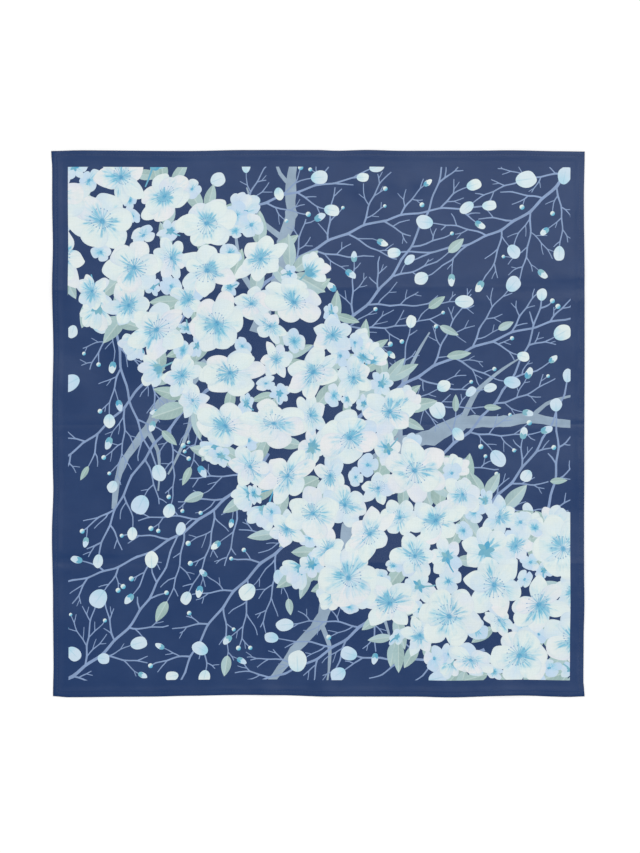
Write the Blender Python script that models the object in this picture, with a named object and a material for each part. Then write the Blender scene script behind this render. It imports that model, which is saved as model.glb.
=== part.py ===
"""A square cotton bandana laid out flat: one sheet of cloth with its narrow hem.

The sheet starts as a flat grid whose rows follow the pressed lines across it. Its edges bow in and
out by fractions of a millimetre, it lifts off the ground in low ridges where it was once folded and
in soft swells, and a Solidify modifier gives it thickness upwards, more on the turned hem than on
the single cloth inside it.
"""

from collections import namedtuple

import bmesh
import bpy
import numpy as np

MM = 0.001

# The cloth, in metres. X runs across it, Y up it, and it lies on Z = 0.
WIDTH = 531.5 * MM
HEIGHT = 545.6 * MM
CLOTH_THICKNESS = 1.0 * MM

# The hem: its own width and thickness, the rounded outer edge, and the step down to one layer.
HEM_WIDTH = 5.5 * MM
HEM_THICKNESS = 1.8 * MM
HEM_ROLL = 1.2 * MM
HEM_STEP = 1.0 * MM
HEM_EDGE_SHARE = 0.5

# The unevenness of an edge dies away over this distance into the cloth.
EDGE_FADE = 60.0 * MM

# The widest cell of the grid away from hem and folds.
WIDEST_CELL = 14.0 * MM

# A grid line over a fold or swell is left out where another lies closer than this.
CLOSEST_STOPS = 2.5 * MM

# The pressed line on a ridge's crest or in a groove is this round.
CREASE_RADIUS = 1.5 * MM

# Besides the one on it, each narrow fold line has grid lines at these shares of its reach.
LINE_STOPS = {"crest": (0.33, 1.0), "groove": (0.44, 1.0)}

# Each edge: millimetres along it from its middle, and how far it stands out from straight there.
Edge = namedtuple("Edge", "along out")
LEFT_EDGE = (
    Edge(-272, -0.3),
    Edge(-245, -0.8),
    Edge(-180, -0.5),
    Edge(-110, 0.7),
    Edge(-65, -0.6),
    Edge(-40, 0.0),
    Edge(10, 0.2),
    Edge(70, -0.7),
    Edge(140, 0.4),
    Edge(175, -0.3),
    Edge(225, 0.5),
    Edge(255, 0.5),
    Edge(272, 1.5),
)
RIGHT_EDGE = (
    Edge(-272, 0.3),
    Edge(-258, -0.9),
    Edge(-215, -0.6),
    Edge(-180, 0.1),
    Edge(-145, -0.3),
    Edge(-55, -0.1),
    Edge(60, 0.3),
    Edge(140, 0.2),
    Edge(225, -0.4),
    Edge(272, 0.4),
)
TOP_EDGE = (
    Edge(-265, -0.5),
    Edge(-240, 0.2),
    Edge(-132, -0.5),
    Edge(-72, 0.5),
    Edge(0, 0.5),
    Edge(18, -0.2),
    Edge(48, 0.6),
    Edge(84, -0.3),
    Edge(150, -0.2),
    Edge(192, 0.2),
    Edge(240, -0.7),
    Edge(265, -1.0),
)
BOTTOM_EDGE = (
    Edge(-265, -0.2),
    Edge(-252, 1.0),
    Edge(-168, 0.4),
    Edge(-132, -0.4),
    Edge(-78, -1.3),
    Edge(-48, -1.2),
    Edge(12, 0.3),
    Edge(96, 0.4),
    Edge(130, 1.2),
    Edge(200, -0.8),
    Edge(250, 0.7),
    Edge(265, 0.1),
)

# Fold lines right across the cloth, in millimetres: where each meets the left and the right edge,
# how high the cloth stands off the ground there and midway, and how far it reaches above and below
# its line. A ridge is broad and stands highest on its line. A crest is a narrow pressed line on top
# of a ridge. A groove stays down on its line, between two low lips.
Fold = namedtuple("Fold", "name form at_left at_right rise_left rise_middle rise_right above below")
FOLDS = (
    Fold("upper quarter", "ridge", 133.5, 137.5, 1.6, 2.7, 1.5, 118.0, 98.0),
    Fold("upper quarter", "crest", 133.5, 137.5, 0.28, 0.42, 0.0, 9.0, 9.0),
    Fold("half", "groove", -1.5, -1.0, 0.14, 0.14, 0.30, 12.0, 12.0),
    Fold("lower quarter", "ridge", -137.5, -140.0, 0.9, 2.4, 1.3, 57.0, 104.0),
    Fold("lower quarter", "crest", -137.5, -140.0, 0.0, 0.42, 0.24, 8.0, 8.0),
)

# Soft swells, in millimetres: the middle of each, the way it runs (degrees from X), half its length,
# how far it reaches above and below its crest, and its height.
Swell = namedtuple("Swell", "name x y turn length above below rise")
SWELLS = (
    Swell("left shoulder", -190, 95, -40, 76, 17, 46, 2.0),
    Swell("lower right pull", 160, -175, 24, 84, 20, 48, 2.4),
    Swell("hem lift, right", 190, -273, 90, 44, 30, 30, 1.2),
    Swell("hem lift, middle", 6, -273, 90, 32, 17, 17, 0.7),
    Swell("hem lift, left", -50, -273, 90, 32, 20, 20, 0.7),
    Swell("right side", 262, -48, 0, 52, 42, 44, 1.2),
    Swell("left side, upper", -262, 38, 0, 56, 42, 90, 1.5),
    Swell("left side, lower", -264, -190, 0, 40, 30, 46, 1.0),
    Swell("top, middle", 43, 238, 0, 26, 16, 26, 0.9),
    Swell("top, right", 80, 240, 0, 20, 16, 22, 0.8),
    Swell("top, far right", 108, 240, 0, 24, 18, 24, 1.0),
    Swell("faint upright fold", 6, 60, 90, 190, 26, 26, 0.6),
)

# The dyed ground colour of the cloth, linear.
NAVY = (0.036, 0.067, 0.153, 1.0)
CLOTH_ROUGHNESS = 0.9


def clear_scene():
    """Removes every object that is in the scene at the start."""
    for old in list(bpy.data.objects):
        bpy.data.objects.remove(old)


def stops_between(low, high, wanted):
    """Grid lines from low to high: the wanted ones, with wider intervals cut into equal cells."""
    inside = [stop for stop in wanted if low < stop < high]
    ends = np.unique(np.array([low, high] + inside))
    runs = []
    for start, end in zip(ends, ends[1:]):
        cells = int(np.ceil((end - start) / WIDEST_CELL))
        runs.append(np.linspace(start, end, cells, endpoint=False))
    return np.append(np.concatenate(runs), high)


def hem_stops(low, high):
    """The lines along both hems: each outer roll, each hem's inner side and the foot of its step."""
    steps = (HEM_ROLL, HEM_WIDTH, HEM_WIDTH + HEM_STEP)
    return [low + step for step in steps] + [high - step for step in steps]


def swell_stops(axis):
    """The line through the middle of each swell, across X or across Y."""
    return [getattr(swell, axis) * MM for swell in SWELLS]


def fold_stops():
    """The lines over each fold: on it, and over both flanks or both lips of a narrow one."""
    stops = []
    for fold in FOLDS:
        middle = (fold.at_left + fold.at_right) / 2
        for share in LINE_STOPS.get(fold.form, ()):
            stops += [(middle + share * fold.above) * MM, (middle - share * fold.below) * MM]
        stops.append(middle * MM)
    return stops


def merged(fixed, others):
    """All of the fixed stops, and each of the others that lies clear of those kept before it."""
    kept = list(fixed)
    for stop in others:
        if min(abs(stop - other) for other in kept) >= CLOSEST_STOPS:
            kept.append(stop)
    return kept


def row_climb(y):
    """How far the grid row at y climbs from its left to its right end: as much as the fold line
    there, nothing on the hems, and in proportion to the distance in between."""
    inner = HEIGHT / 2 - HEM_WIDTH - HEM_STEP
    lines = {(fold.at_left + fold.at_right) / 2: fold.at_right - fold.at_left for fold in FOLDS}
    places = [-inner] + [middle * MM for middle in sorted(lines)] + [inner]
    climbs = [0.0] + [lines[middle] * MM for middle in sorted(lines)] + [0.0]
    return np.interp(y, places, climbs)


def stand_out(edge, along):
    """How far an edge stands out from straight, in metres, eased between the rows of its table."""
    places = np.array([row.along for row in edge]) * MM
    outs = np.array([row.out for row in edge]) * MM
    last = len(places) - 2
    cell = np.clip(np.searchsorted(places, along) - 1, 0, last)
    share = np.clip((along - places[cell]) / (places[cell + 1] - places[cell]), 0, 1)
    eased = share * share * (3 - 2 * share)
    return outs[cell] + eased * (outs[cell + 1] - outs[cell])


def faded(distance):
    """1 on an edge, falling to 0 at EDGE_FADE inside it."""
    return np.clip(1 - distance / EDGE_FADE, 0, 1) ** 2


def outlined(x, y):
    """The grid's points moved in and out, so that the sheet has its uneven outline."""
    left = stand_out(LEFT_EDGE, y) * faded(x + WIDTH / 2)
    right = stand_out(RIGHT_EDGE, y) * faded(WIDTH / 2 - x)
    top = stand_out(TOP_EDGE, x) * faded(HEIGHT / 2 - y)
    bottom = stand_out(BOTTOM_EDGE, x) * faded(y + HEIGHT / 2)
    return x - left + right, y + top - bottom


def line_and_rise(fold, x):
    """Where a fold's line runs at x, and its rise there, in metres: a straight line, and a parabola
    through its three rises."""
    across = x / WIDTH + 0.5
    line = fold.at_left + across * (fold.at_right - fold.at_left)
    ends = fold.rise_left + across * (fold.rise_right - fold.rise_left)
    middle = fold.rise_middle - (fold.rise_left + fold.rise_right) / 2
    return line * MM, (ends + 4 * across * (1 - across) * middle) * MM


def fold_height(fold, x, y):
    """The lift over one fold, in metres. With t as the distance from its line, rounded by the crease
    radius, over its reach on that side, a ridge follows (1 - t)^1.5, a crest (1 - t)^2 and a groove
    6.75 t (1 - t)^2, which is 1 on its lips."""
    line, rise = line_and_rise(fold, x)
    away = np.hypot(y - line, CREASE_RADIUS) - CREASE_RADIUS
    t = np.clip(away / (np.where(y > line, fold.above, fold.below) * MM), 0, 1)
    if fold.form == "ridge":
        return rise * (1 - t) ** 1.5
    if fold.form == "crest":
        return rise * (1 - t) ** 2
    return rise * 6.75 * t * (1 - t) ** 2


def swell_height(swell, x, y):
    """The lift over one swell, in metres: a squared cosine along it times one across it."""
    turn = np.radians(swell.turn)
    right = x - swell.x * MM
    up = y - swell.y * MM
    along = (right * np.cos(turn) + up * np.sin(turn)) / (swell.length * MM)
    across = up * np.cos(turn) - right * np.sin(turn)
    across = across / (np.where(across > 0, swell.above, swell.below) * MM)
    inside = (np.abs(along) < 1) & (np.abs(across) < 1)
    shape = (np.cos(np.pi / 2 * along) * np.cos(np.pi / 2 * across)) ** 2
    return np.where(inside, swell.rise * MM * shape, 0.0)


def lift(x, y):
    """How far the underside stands off the ground: the cube root of the summed cubes of all ridges
    and swells, so that the highest leads and they melt together, with the narrow lines on top."""
    broad = [fold_height(fold, x, y) for fold in FOLDS if fold.form == "ridge"]
    broad += [swell_height(swell, x, y) for swell in SWELLS]
    narrow = [fold_height(fold, x, y) for fold in FOLDS if fold.form != "ridge"]
    return np.cbrt(np.sum(np.array(broad) ** 3, axis=0)) + np.sum(narrow, axis=0)


def thickness_share(x, y):
    """The cloth's thickness over the hem's: rolled at the outer edge, full on the hem, thin inside."""
    inward = np.minimum(WIDTH / 2 - np.abs(x), HEIGHT / 2 - np.abs(y))
    places = (0.0, HEM_ROLL, HEM_WIDTH, HEM_WIDTH + HEM_STEP)
    shares = (HEM_EDGE_SHARE, 1.0, 1.0, CLOTH_THICKNESS / HEM_THICKNESS)
    return np.interp(inward, places, shares)


def sheet_mesh():
    """The grid, tilted to the fold lines, moved to its outline and lifted, and the thickness shares."""
    x_stops = merged(hem_stops(-WIDTH / 2, WIDTH / 2), swell_stops("x"))
    y_stops = merged(hem_stops(-HEIGHT / 2, HEIGHT / 2), fold_stops() + swell_stops("y"))
    columns = stops_between(-WIDTH / 2, WIDTH / 2, x_stops)
    rows = stops_between(-HEIGHT / 2, HEIGHT / 2, y_stops)

    shape = bmesh.new()
    bmesh.ops.create_grid(shape, x_segments=len(columns) - 1, y_segments=len(rows) - 1, size=1.0)
    unit = np.array([vertex.co[:2] for vertex in shape.verts])
    column = np.rint((unit[:, 0] + 1) / 2 * (len(columns) - 1)).astype(int)
    row = np.rint((unit[:, 1] + 1) / 2 * (len(rows) - 1)).astype(int)
    flat_x = columns[column]
    flat_y = rows[row] + row_climb(rows[row]) * flat_x / WIDTH

    x, y = outlined(flat_x, flat_y)
    x -= (x.min() + x.max()) / 2
    y -= (y.min() + y.max()) / 2
    z = lift(flat_x, flat_y)
    for vertex, place in zip(shape.verts, zip(x, y, z)):
        vertex.co = place
    mesh = bpy.data.meshes.new("bandana")
    shape.to_mesh(mesh)
    shape.free()
    return mesh, thickness_share(flat_x, flat_y)


def cotton_material():
    """Navy dyed cotton, matt."""
    material = bpy.data.materials.new("printed cotton")
    material.use_nodes = True
    shader = material.node_tree.nodes["Principled BSDF"]
    shader.inputs["Base Color"].default_value = NAVY
    shader.inputs["Roughness"].default_value = CLOTH_ROUGHNESS
    shader.inputs["Metallic"].default_value = 0.0
    return material


def make_bandana():
    """The one sheet, thickened upwards by its shares of the hem's thickness."""
    mesh, shares = sheet_mesh()
    bandana = bpy.data.objects.new("bandana", mesh)
    bpy.context.scene.collection.objects.link(bandana)
    mesh.materials.append(cotton_material())
    group = bandana.vertex_groups.new(name="thickness")
    for index, share in enumerate(shares):
        group.add([index], float(share), "REPLACE")
    solidify = bandana.modifiers.new("cloth and hem", "SOLIDIFY")
    solidify.thickness = HEM_THICKNESS
    solidify.offset = 1.0
    solidify.vertex_group = group.name
    solidify.thickness_vertex_group = 0.0
    solidify.use_rim = True
    mesh.shade_smooth()
    return bandana


clear_scene()
make_bandana()
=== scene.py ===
"""The looks of a printed cotton bandana that lies flat, seen from straight above.

The cloth is one closed sheet: a height over the two coordinates of the flat cloth. It lifts off the
ground in soft ridges where it was once pressed into folds, and it is thicker on its turned hem. Its
flower print is cut into the sheet: the points at which the height is worked out follow the outlines
of the petals, leaves and stems, so that each has a crisp edge and shading of its own.

Lengths and places are in millimetres on the cloth, from its middle, and angles are in degrees,
unless a comment says otherwise.
"""

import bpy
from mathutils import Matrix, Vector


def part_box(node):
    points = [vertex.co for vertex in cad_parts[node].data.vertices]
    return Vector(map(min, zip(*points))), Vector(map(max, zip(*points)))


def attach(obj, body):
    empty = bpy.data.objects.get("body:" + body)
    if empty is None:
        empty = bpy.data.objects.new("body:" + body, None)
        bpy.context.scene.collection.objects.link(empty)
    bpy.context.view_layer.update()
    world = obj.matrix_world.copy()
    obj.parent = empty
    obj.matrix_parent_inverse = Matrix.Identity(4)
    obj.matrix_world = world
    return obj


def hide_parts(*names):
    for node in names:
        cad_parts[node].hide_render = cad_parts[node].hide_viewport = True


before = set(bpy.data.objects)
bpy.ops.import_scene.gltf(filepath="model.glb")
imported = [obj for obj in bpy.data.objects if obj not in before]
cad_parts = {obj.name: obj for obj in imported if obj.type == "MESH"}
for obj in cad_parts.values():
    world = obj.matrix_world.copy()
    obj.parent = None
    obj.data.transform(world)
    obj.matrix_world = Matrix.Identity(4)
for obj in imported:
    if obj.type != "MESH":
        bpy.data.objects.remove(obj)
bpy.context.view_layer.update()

from collections import namedtuple

import bpy
import numpy as np
from mathutils import Vector
from mathutils.geometry import delaunay_2d_cdt

bl_info = {
    "name": "Printed Bandana",
    "version": (1, 0, 0),
    "blender": (4, 5, 0),
    "location": "3D View > Sidebar > Bandana",
    "description": "A square printed cotton bandana laid out flat, with its stage",
    "category": "Add Mesh",
}

MM = 0.001


def table(columns, *rows):
    """Rows of values whose columns have names."""
    row_type = namedtuple("Row", columns)
    return tuple(row_type(*row) for row in rows)


# The straight-edged square that the outline wavers about, as in the solid, and how far in from each
# edge the wavering fades out.
WIDTH = 531.5
HEIGHT = 545.6
EDGE_FADE = 60.0

# How far each edge stands out from straight, by the place along it.
LEFT_EDGE = {
    -272: -0.3, -245: -0.8, -180: -0.5, -110: 0.7, -65: -0.6, -40: 0.0, 10: 0.2, 70: -0.7, 140: 0.4,
    175: -0.3, 225: 0.5, 255: 0.5, 272: 1.5,
}
RIGHT_EDGE = {
    -272: 0.3, -258: -0.9, -215: -0.6, -180: 0.1, -145: -0.3, -55: -0.1, 60: 0.3, 140: 0.2,
    225: -0.4, 272: 0.4,
}
TOP_EDGE = {
    -265: -0.5, -240: 0.2, -132: -0.5, -72: 0.5, 0: 0.5, 18: -0.2, 48: 0.6, 84: -0.3, 150: -0.2,
    192: 0.2, 240: -0.7, 265: -1.0,
}
BOTTOM_EDGE = {
    -265: -0.2, -252: 1.0, -168: 0.4, -132: -0.4, -78: -1.3, -48: -1.2, 12: 0.3, 96: 0.4, 130: 1.2,
    200: -0.8, 250: 0.7, 265: 0.1,
}

# Broad ridges right across the cloth: where the line of each meets the left and the right edge, how
# high the cloth stands off the ground there and midway, and how far it reaches above and below it.
FOLDS = table(
    "name at_left at_right rise_left rise_middle rise_right above below",
    ("upper quarter", 133.5, 137.5, 1.35, 2.5, 1.25, 118.0, 98.0),
    ("lower quarter", -137.5, -140.0, 0.8, 2.0, 1.0, 57.0, 104.0),
)

# Narrow pressed lines on top of them. A crest stands highest on its line, a groove is lowest on its
# line, between two low lips, and a dip is a rounded hollow pressed into a ridge.
CREASES = table(
    "name form at_left at_right rise_left rise_middle rise_right reach",
    ("upper quarter", "crest", 133.5, 137.5, 0.24, 0.12, 0.0, 9.0),
    ("upper quarter, right end", "dip", 133.5, 135.0, 0.0, 0.0, 0.66, 11.0),
    ("half", "groove", -1.5, -1.0, 0.12, 0.10, 0.22, 12.0),
    ("lower quarter", "crest", -137.5, -140.0, 0.0, 0.08, 0.18, 8.0),
    ("lower quarter, left end", "dip", -137.5, -139.0, 0.56, 0.0, 0.0, 7.0),
)

# The radius that rounds the lines of folds and creases off, and how far short of the edges the rows
# of points along the creases stop.
CREASE_RADIUS = 0.8
CREASE_END = 0.2

# Soft swells: the middle of each, the way it runs (from X), half its length, how far it reaches
# above and below its crest, and its height.
SWELLS = table(
    "name x y turn length above below rise",
    ("left shoulder", -190, 95, -40, 76, 17, 46, 1.7),
    ("lower right pull", 160, -175, 24, 84, 20, 48, 2.0),
    ("hem lift, right", 190, -273, 90, 44, 30, 30, 1.2),
    ("hem lift, middle", 6, -273, 90, 32, 17, 17, 0.7),
    ("hem lift, left", -50, -273, 90, 32, 20, 20, 0.7),
    ("right side", 262, -48, 0, 52, 42, 44, 1.0),
    ("left side, upper", -262, 38, 0, 56, 42, 90, 1.2),
    ("left side, lower", -264, -190, 0, 40, 30, 46, 0.8),
    ("top, middle", 43, 238, 0, 26, 16, 26, 0.9),
    ("top, right", 80, 240, 0, 20, 16, 22, 0.8),
    ("top, far right", 108, 240, 0, 24, 18, 24, 1.0),
    ("faint upright fold", 6, 60, 90, 190, 26, 26, 0.6),
)

# The cloth is never quite smooth: waves of these lengths, and this high in all, run over it.
COCKLE_LENGTHS = (67.0, 45.0, 31.0, 22.0, 15.0)
COCKLE_HEIGHT = 0.34

# How high the hem's outer edge curls up on each side, and over what width.
CURL_TOP = 0.30
CURL_SIDES = 0.10
CURL_BOTTOM = 0.06
CURL_REACH = 4.2

# Inside the hem the single cloth sinks to the ground over HEM_STEP, and on its underside the folded
# edge stands up over EDGE_STEP. A corner of the hem is thicker by this share of its layers.
HEM_STEP = 6.0
EDGE_STEP = 0.35
CORNER_SHARE = 0.45

# The valley that the stitching pulls in, and the puckers along it: how far in from the edge they
# are strongest, how far they reach to each side, the length of a pucker and its height.
STITCH_VALLEY = 0.16
STITCH_VALLEY_REACH = 0.9
PUCKER_PLACE = 5.5
PUCKER_REACH = 6.5
PUCKER_LENGTH = 8.5
PUCKER_HEIGHT = 0.09

# The distance between the points along the stitching, along the hem's other lines, round the
# printed field and along each crease. The evenly spread points keep off the hem by GRID_MARGIN.
SEAM_POINTS = 3.2
HEM_POINTS = 7.0
FIELD_POINTS = 6.0
CREASE_POINTS = 7.0
GRID_MARGIN = 11

# The hem's lines of points: shares of the radius of its rolled edge, and shares of HEM_STEP.
ROLL_LINES = (0.0, 0.12, 0.45, 1.0)
STEP_LINES = (0.35, 0.65, 1.0)

# How finely each side of the cloth is cut: it takes every so many points of a petal's outline, rows
# of points along each crease at these shares of its reach, and points spread so far apart between.
UPPER, LOWER = table(
    "skip rows spacing",
    (1, (-0.8, -0.5, -0.25, -0.07, 0.07, 0.25, 0.5, 0.8), 9.0),
    (2, (-0.4, 0.0, 0.4), 13.0),
)

# How far a stitch bows out of the cloth in its middle, and dips in at its ends, as shares of the
# thread's width. On the underside it bows less, so that it stays off the ground. Then the rings of
# points along a stitch, and the points of each.
STITCH_BOW = 0.42
STITCH_DIP = 0.75
UNDER_BOW = 0.25
STITCH_RINGS = 6
STITCH_SIDES = 5

# The print's straight-cut edges.
FIELD_LEFT = -WIDTH / 2 + 15.5
FIELD_RIGHT = WIDTH / 2 - 14.0
FIELD_BOTTOM = -HEIGHT / 2 + 16.3
FIELD_TOP = HEIGHT / 2 - 16.4

# The garland of blossoms: its middle line and how far each side of it the blossoms reach.
GARLAND = (
    (-310, 200, 68), (-232, 196, 74), (-150, 166, 84), (-78, 92, 92), (-18, 6, 96), (48, -80, 94),
    (126, -150, 92), (214, -178, 84), (306, -168, 74),
)

# Blossom sizes: the largest are placed first, and the last are painted first. No two stand closer
# than the share "apart" of their radii added up.
BLOSSOM_SIZES = table(
    "forms least most tries apart tone",
    (("anemone", "windflower"), 29, 37, 900, 0.70, 0.05),
    (("anemone", "windflower", "windflower", "nodding"), 20, 27, 2400, 0.60, 0.25),
    (("floret", "floret", "nodding"), 10, 15, 5000, 0.62, 0.55),
)

# As shares of its radius: how far off the field a blossom's middle may lie, and how deep in the
# garland it lies at least. One with a larger radius than LARGE_BLOSSOM has finer petals.
BLOSSOM_OVERHANG = 0.4
BLOSSOM_DEPTH = 0.62
LARGE_BLOSSOM = 18
LARGE_PETAL_POINTS = 34
PETAL_POINTS = 24

# How narrow a blossom may look that is tipped to one side. How much the lengths and the widths of
# its petals vary, as shares, and their angles, in radians. Then, as shares of its radius, the size
# of its throat disc and how far from its middle its petals start. The petals at its back are bluer
# by BACK_TONE.
TIPPED_LEAST = 0.62
PETAL_LENGTHS = (0.84, 1.08)
PETAL_WIDTHS = (0.86, 1.12)
PETAL_SWAY = 0.12
THROAT_DISC = 0.3
PETAL_ROOT = 0.03
BACK_TONE = 0.12

# Blossom forms, as shares of the blossom's radius: whorls of petals from the back to the front.
# "point" draws their tips out.
Whorl = namedtuple("Whorl", "petals reach half_width point")
FORMS = {
    "anemone": (Whorl(6, 1.0, 0.40, 0.05), Whorl(3, 0.84, 0.43, 0.05)),
    "windflower": (Whorl(6, 1.0, 0.345, 0.30), Whorl(3, 0.82, 0.33, 0.30)),
    "nodding": (Whorl(6, 1.0, 0.375, 0.22),),
    "floret": (Whorl(4, 1.0, 0.58, 0.12),),
}

# A half-open blossom seen from its side: the lean of each petal, its length and its half width as
# shares of the blossom's size, from the back to the front.
CUP = table(
    "lean length half_width",
    (-50, 0.86, 0.24),
    (48, 0.88, 0.25),
    (-24, 1.0, 0.28),
    (26, 0.98, 0.29),
    (2, 0.90, 0.31),
)

# The sepals that hold a half-open blossom, those of a bud, and those on the back of a nodding
# blossom: the way that each leans.
CUP_SEPALS = (-34, 32, 0)
BUD_SEPALS = (-24, 24)
NODDING_SEPALS = (0, 72, 144, 216, 288)

# Sage leaves behind the large blossoms: how far they fan out to each side of the way out of the
# garland, how far each turns from that, where it starts, as a share of the blossom's radius, and
# its length.
RIM_LEAF_FAN = 75
RIM_LEAF_TURN = 20
RIM_LEAF_ROOT = 0.45
RIM_LEAF_LENGTHS = (24, 36)

# Half-open blossoms on the garland's rim: the points of its line where they may grow, at how many
# of these they do, how far inside the rim they start, how far they turn from the way out, and their
# size.
RIM_CUP_PLACES = slice(10, -8, 13)
RIM_CUP_SHARE = 0.75
RIM_CUP_DEPTH = 24
RIM_CUP_TURN = 30
RIM_CUP_SIZES = (19, 25)

# Main stems that leave the garland: where each starts, its heading and how much it turns, and its
# length.
STEMS = table(
    "x y heading bend length",
    (-120, 190, 30, -22, 170),
    (-62, 130, 44, -46, 250),
    (-20, 70, 28, 50, 250),
    (30, 0, 40, -34, 300),
    (70, -60, 22, 56, 250),
    (128, -110, 30, 44, 200),
    (206, -130, 56, 44, 150),
    (252, 256, 236, -58, 200),
    (-200, 150, 264, 34, 200),
    (-130, 122, 250, -46, 250),
    (-88, 50, 214, 40, 230),
    (-50, -30, 232, -40, 250),
    (0, -100, 208, 46, 240),
    (76, -170, 230, -40, 200),
    (166, -226, 196, -26, 130),
    (-254, -256, 30, 44, 190),
)
STEM_WIDTHS = (3.2, 1.5)

# Broad boughs beneath the stems: the same, with their width at both ends.
BOUGHS = table(
    "x y heading bend length widths",
    (-60, 90, 66, 26, 190, (16.0, 8.0)),
    (60, -40, 34, -50, 230, (18.0, 6.0)),
    (-110, 60, 214, 44, 180, (14.0, 5.0)),
    (30, -100, 262, -44, 200, (16.0, 6.0)),
)

# A bough has a knee after so many millimetres, and at every other one a side bough leaves it, by so
# many degrees and this much thinner and shorter. Then how far apart the points of their outlines
# are, and by what share their widths waver.
KNEE_GAPS = (26, 44)
SIDE_BOUGH_TURN = (34, 56)
SIDE_BOUGH_SHARE = 0.5
BOUGH_POINTS = 9.0
BOUGH_ROUGH = 0.22
SIDE_BOUGH_ROUGH = 0.16

# The step between the points of a path, how much a stem turns at a knot, how deep in the garland
# stems may run, and how far off the printed field.
PATH_STEP = 1.5
KINK = 15.0
STEM_DEPTH = 16
STEM_OVERRUN = 3

# How each stem branches, three times over: the gaps between side shoots, their length (a base and a
# share of what is left of their parent), how far they turn away from it and bend back, the shortest
# one kept, the room that each keeps clear, and its width at both ends. The length of each shoot
# then varies by SHOOT_LENGTHS.
LEVELS = table(
    "gap_least gap_most base share turn_least turn_most bend_least bend_most least room widths",
    (15, 22, 15, 0.38, 34, 54, 10, 36, 13, 4, (1.8, 1.0)),
    (10, 16, 7, 0.38, 32, 52, 6, 28, 8, 3, (1.2, 0.8)),
    (8, 13, 5, 0.34, 30, 48, 4, 20, 5, 2, (0.9, 0.65)),
)
SHOOT_LENGTHS = (0.7, 1.25)

# What grows on a stem's tip. A number is drawn from 0 to 1, and the first kind whose limit lies
# above it grows there: the limits are for the main stems, their shoots, the twigs and the last
# twigs. A berry grows if none does and the number is above BERRY_LIMIT.
COIN_LIMITS = (0.8, 0.36, 0.08, 0.0)
SAGE_LIMITS = (0.9, 0.52, 0.14, 0.0)
BUD_LIMITS = (1.0, 0.70, 0.24, 0.04)
BERRY_LIMIT = 0.86

# How long round leaves, sage leaves and buds on the tips grow, and how large berries do. Nothing
# grows on a tip that lies deeper in the garland than TIP_DEPTH.
COIN_LENGTHS = (12, 20)
SAGE_LENGTHS = (16, 26)
BUD_LENGTHS = (9, 13)
BERRY_SIZES = (1.7, 2.7)
TIP_DEPTH = 4

# Round leaves that drift free: how many are tried, their lengths, the room that each keeps from the
# others, and how far off the garland it stays.
DRIFTING_TRIES = 900
DRIFTING_LENGTHS = (11, 22)
DRIFTING_ROOM = 13
DRIFTING_GAP = 6

PRINT_SEED = 11

# What the ink attribute calls each kind of shape. The bare ground is 0.
KINDS = {"ground": 0, "petal": 1, "leaf": 2, "stem": 3, "coin": 4, "berry": 5, "calyx": 6,
         "bough": 7}

# What the style of a petal says about its blossom.
STYLES = {"anemone": 1.0, "windflower": 1.0, "floret": 2.0, "cup": 3.0, "nodding": 3.0}

# The map that the colours may be baked over: the upper side gets the larger share of it.
BAKE_MAP = "OFBake"
UPPER_MAP = (0.003, 0.655)
LOWER_MAP = (0.665, 0.997)

# The stamens of a large blossom.
STAMENS = 19.0

# The noise that thickens some stretches of yarn: how fine it is along the yarn and across it.
SLUB_ALONG = 70.0
SLUB_ACROSS = 1100.0

# In metres: the floor lies just below the cloth, so that the two don't coincide, and reaches so far
# from the middle.
FLOOR_LEVEL = -0.0001
FLOOR_HALF = 14.0

# Where the lamp stands, in metres. It shines on the middle of the ground, over so many degrees.
LAMP_PLACE = (0.66, 0.76, 2.9)
LAMP_SPREAD = 20

# The photograph's frame is this high on the ground, in metres, and its middle lies this far right
# of and above the cloth's middle, in millimetres.
VIEW_HEIGHT = 0.853
VIEW_RIGHT = 1.5
VIEW_UP = -3.1


def srgb(red, green, blue):
    """A colour given as 0 to 255 on a screen, as linear numbers."""
    share = np.array([red, green, blue]) / 255
    linear = np.where(share <= 0.04045, share / 12.92, ((share + 0.055) / 1.055) ** 2.4)
    return tuple(float(value) for value in linear)


def length_property(name, description, default):
    """A length that the user can change, given in millimetres."""
    return bpy.props.FloatProperty(
        name=name, description=description, default=default * MM, unit="LENGTH"
    )


def colour_property(name, description, default):
    """A colour that the user can change."""
    return bpy.props.FloatVectorProperty(
        name=name, description=description, default=default, subtype="COLOR"
    )


class BandanaSizes(bpy.types.PropertyGroup):
    """Sizes of the cloth, its hem and its stitching."""

    cloth_thickness: length_property("Cloth", "Thickness of one layer of the cloth", 0.40)
    hem_width: length_property("Hem width", "Width of the turned hem", 5.5)
    hem_thickness: length_property("Hem", "Thickness of the layers of the turned hem", 0.58)
    stitch_pitch: length_property("Stitch pitch", "From one stitch to the next", 2.9)
    stitch_length: length_property("Stitch length", "Thread that shows in each stitch", 2.35)
    stitch_inset: length_property("Stitch inset", "From the outer edge to the stitching", 4.3)
    thread_width: length_property("Thread", "Thickness of the sewing thread", 0.36)
    yarn_pitch: length_property("Yarn pitch", "From one yarn of the weave to the next", 0.44)


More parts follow.
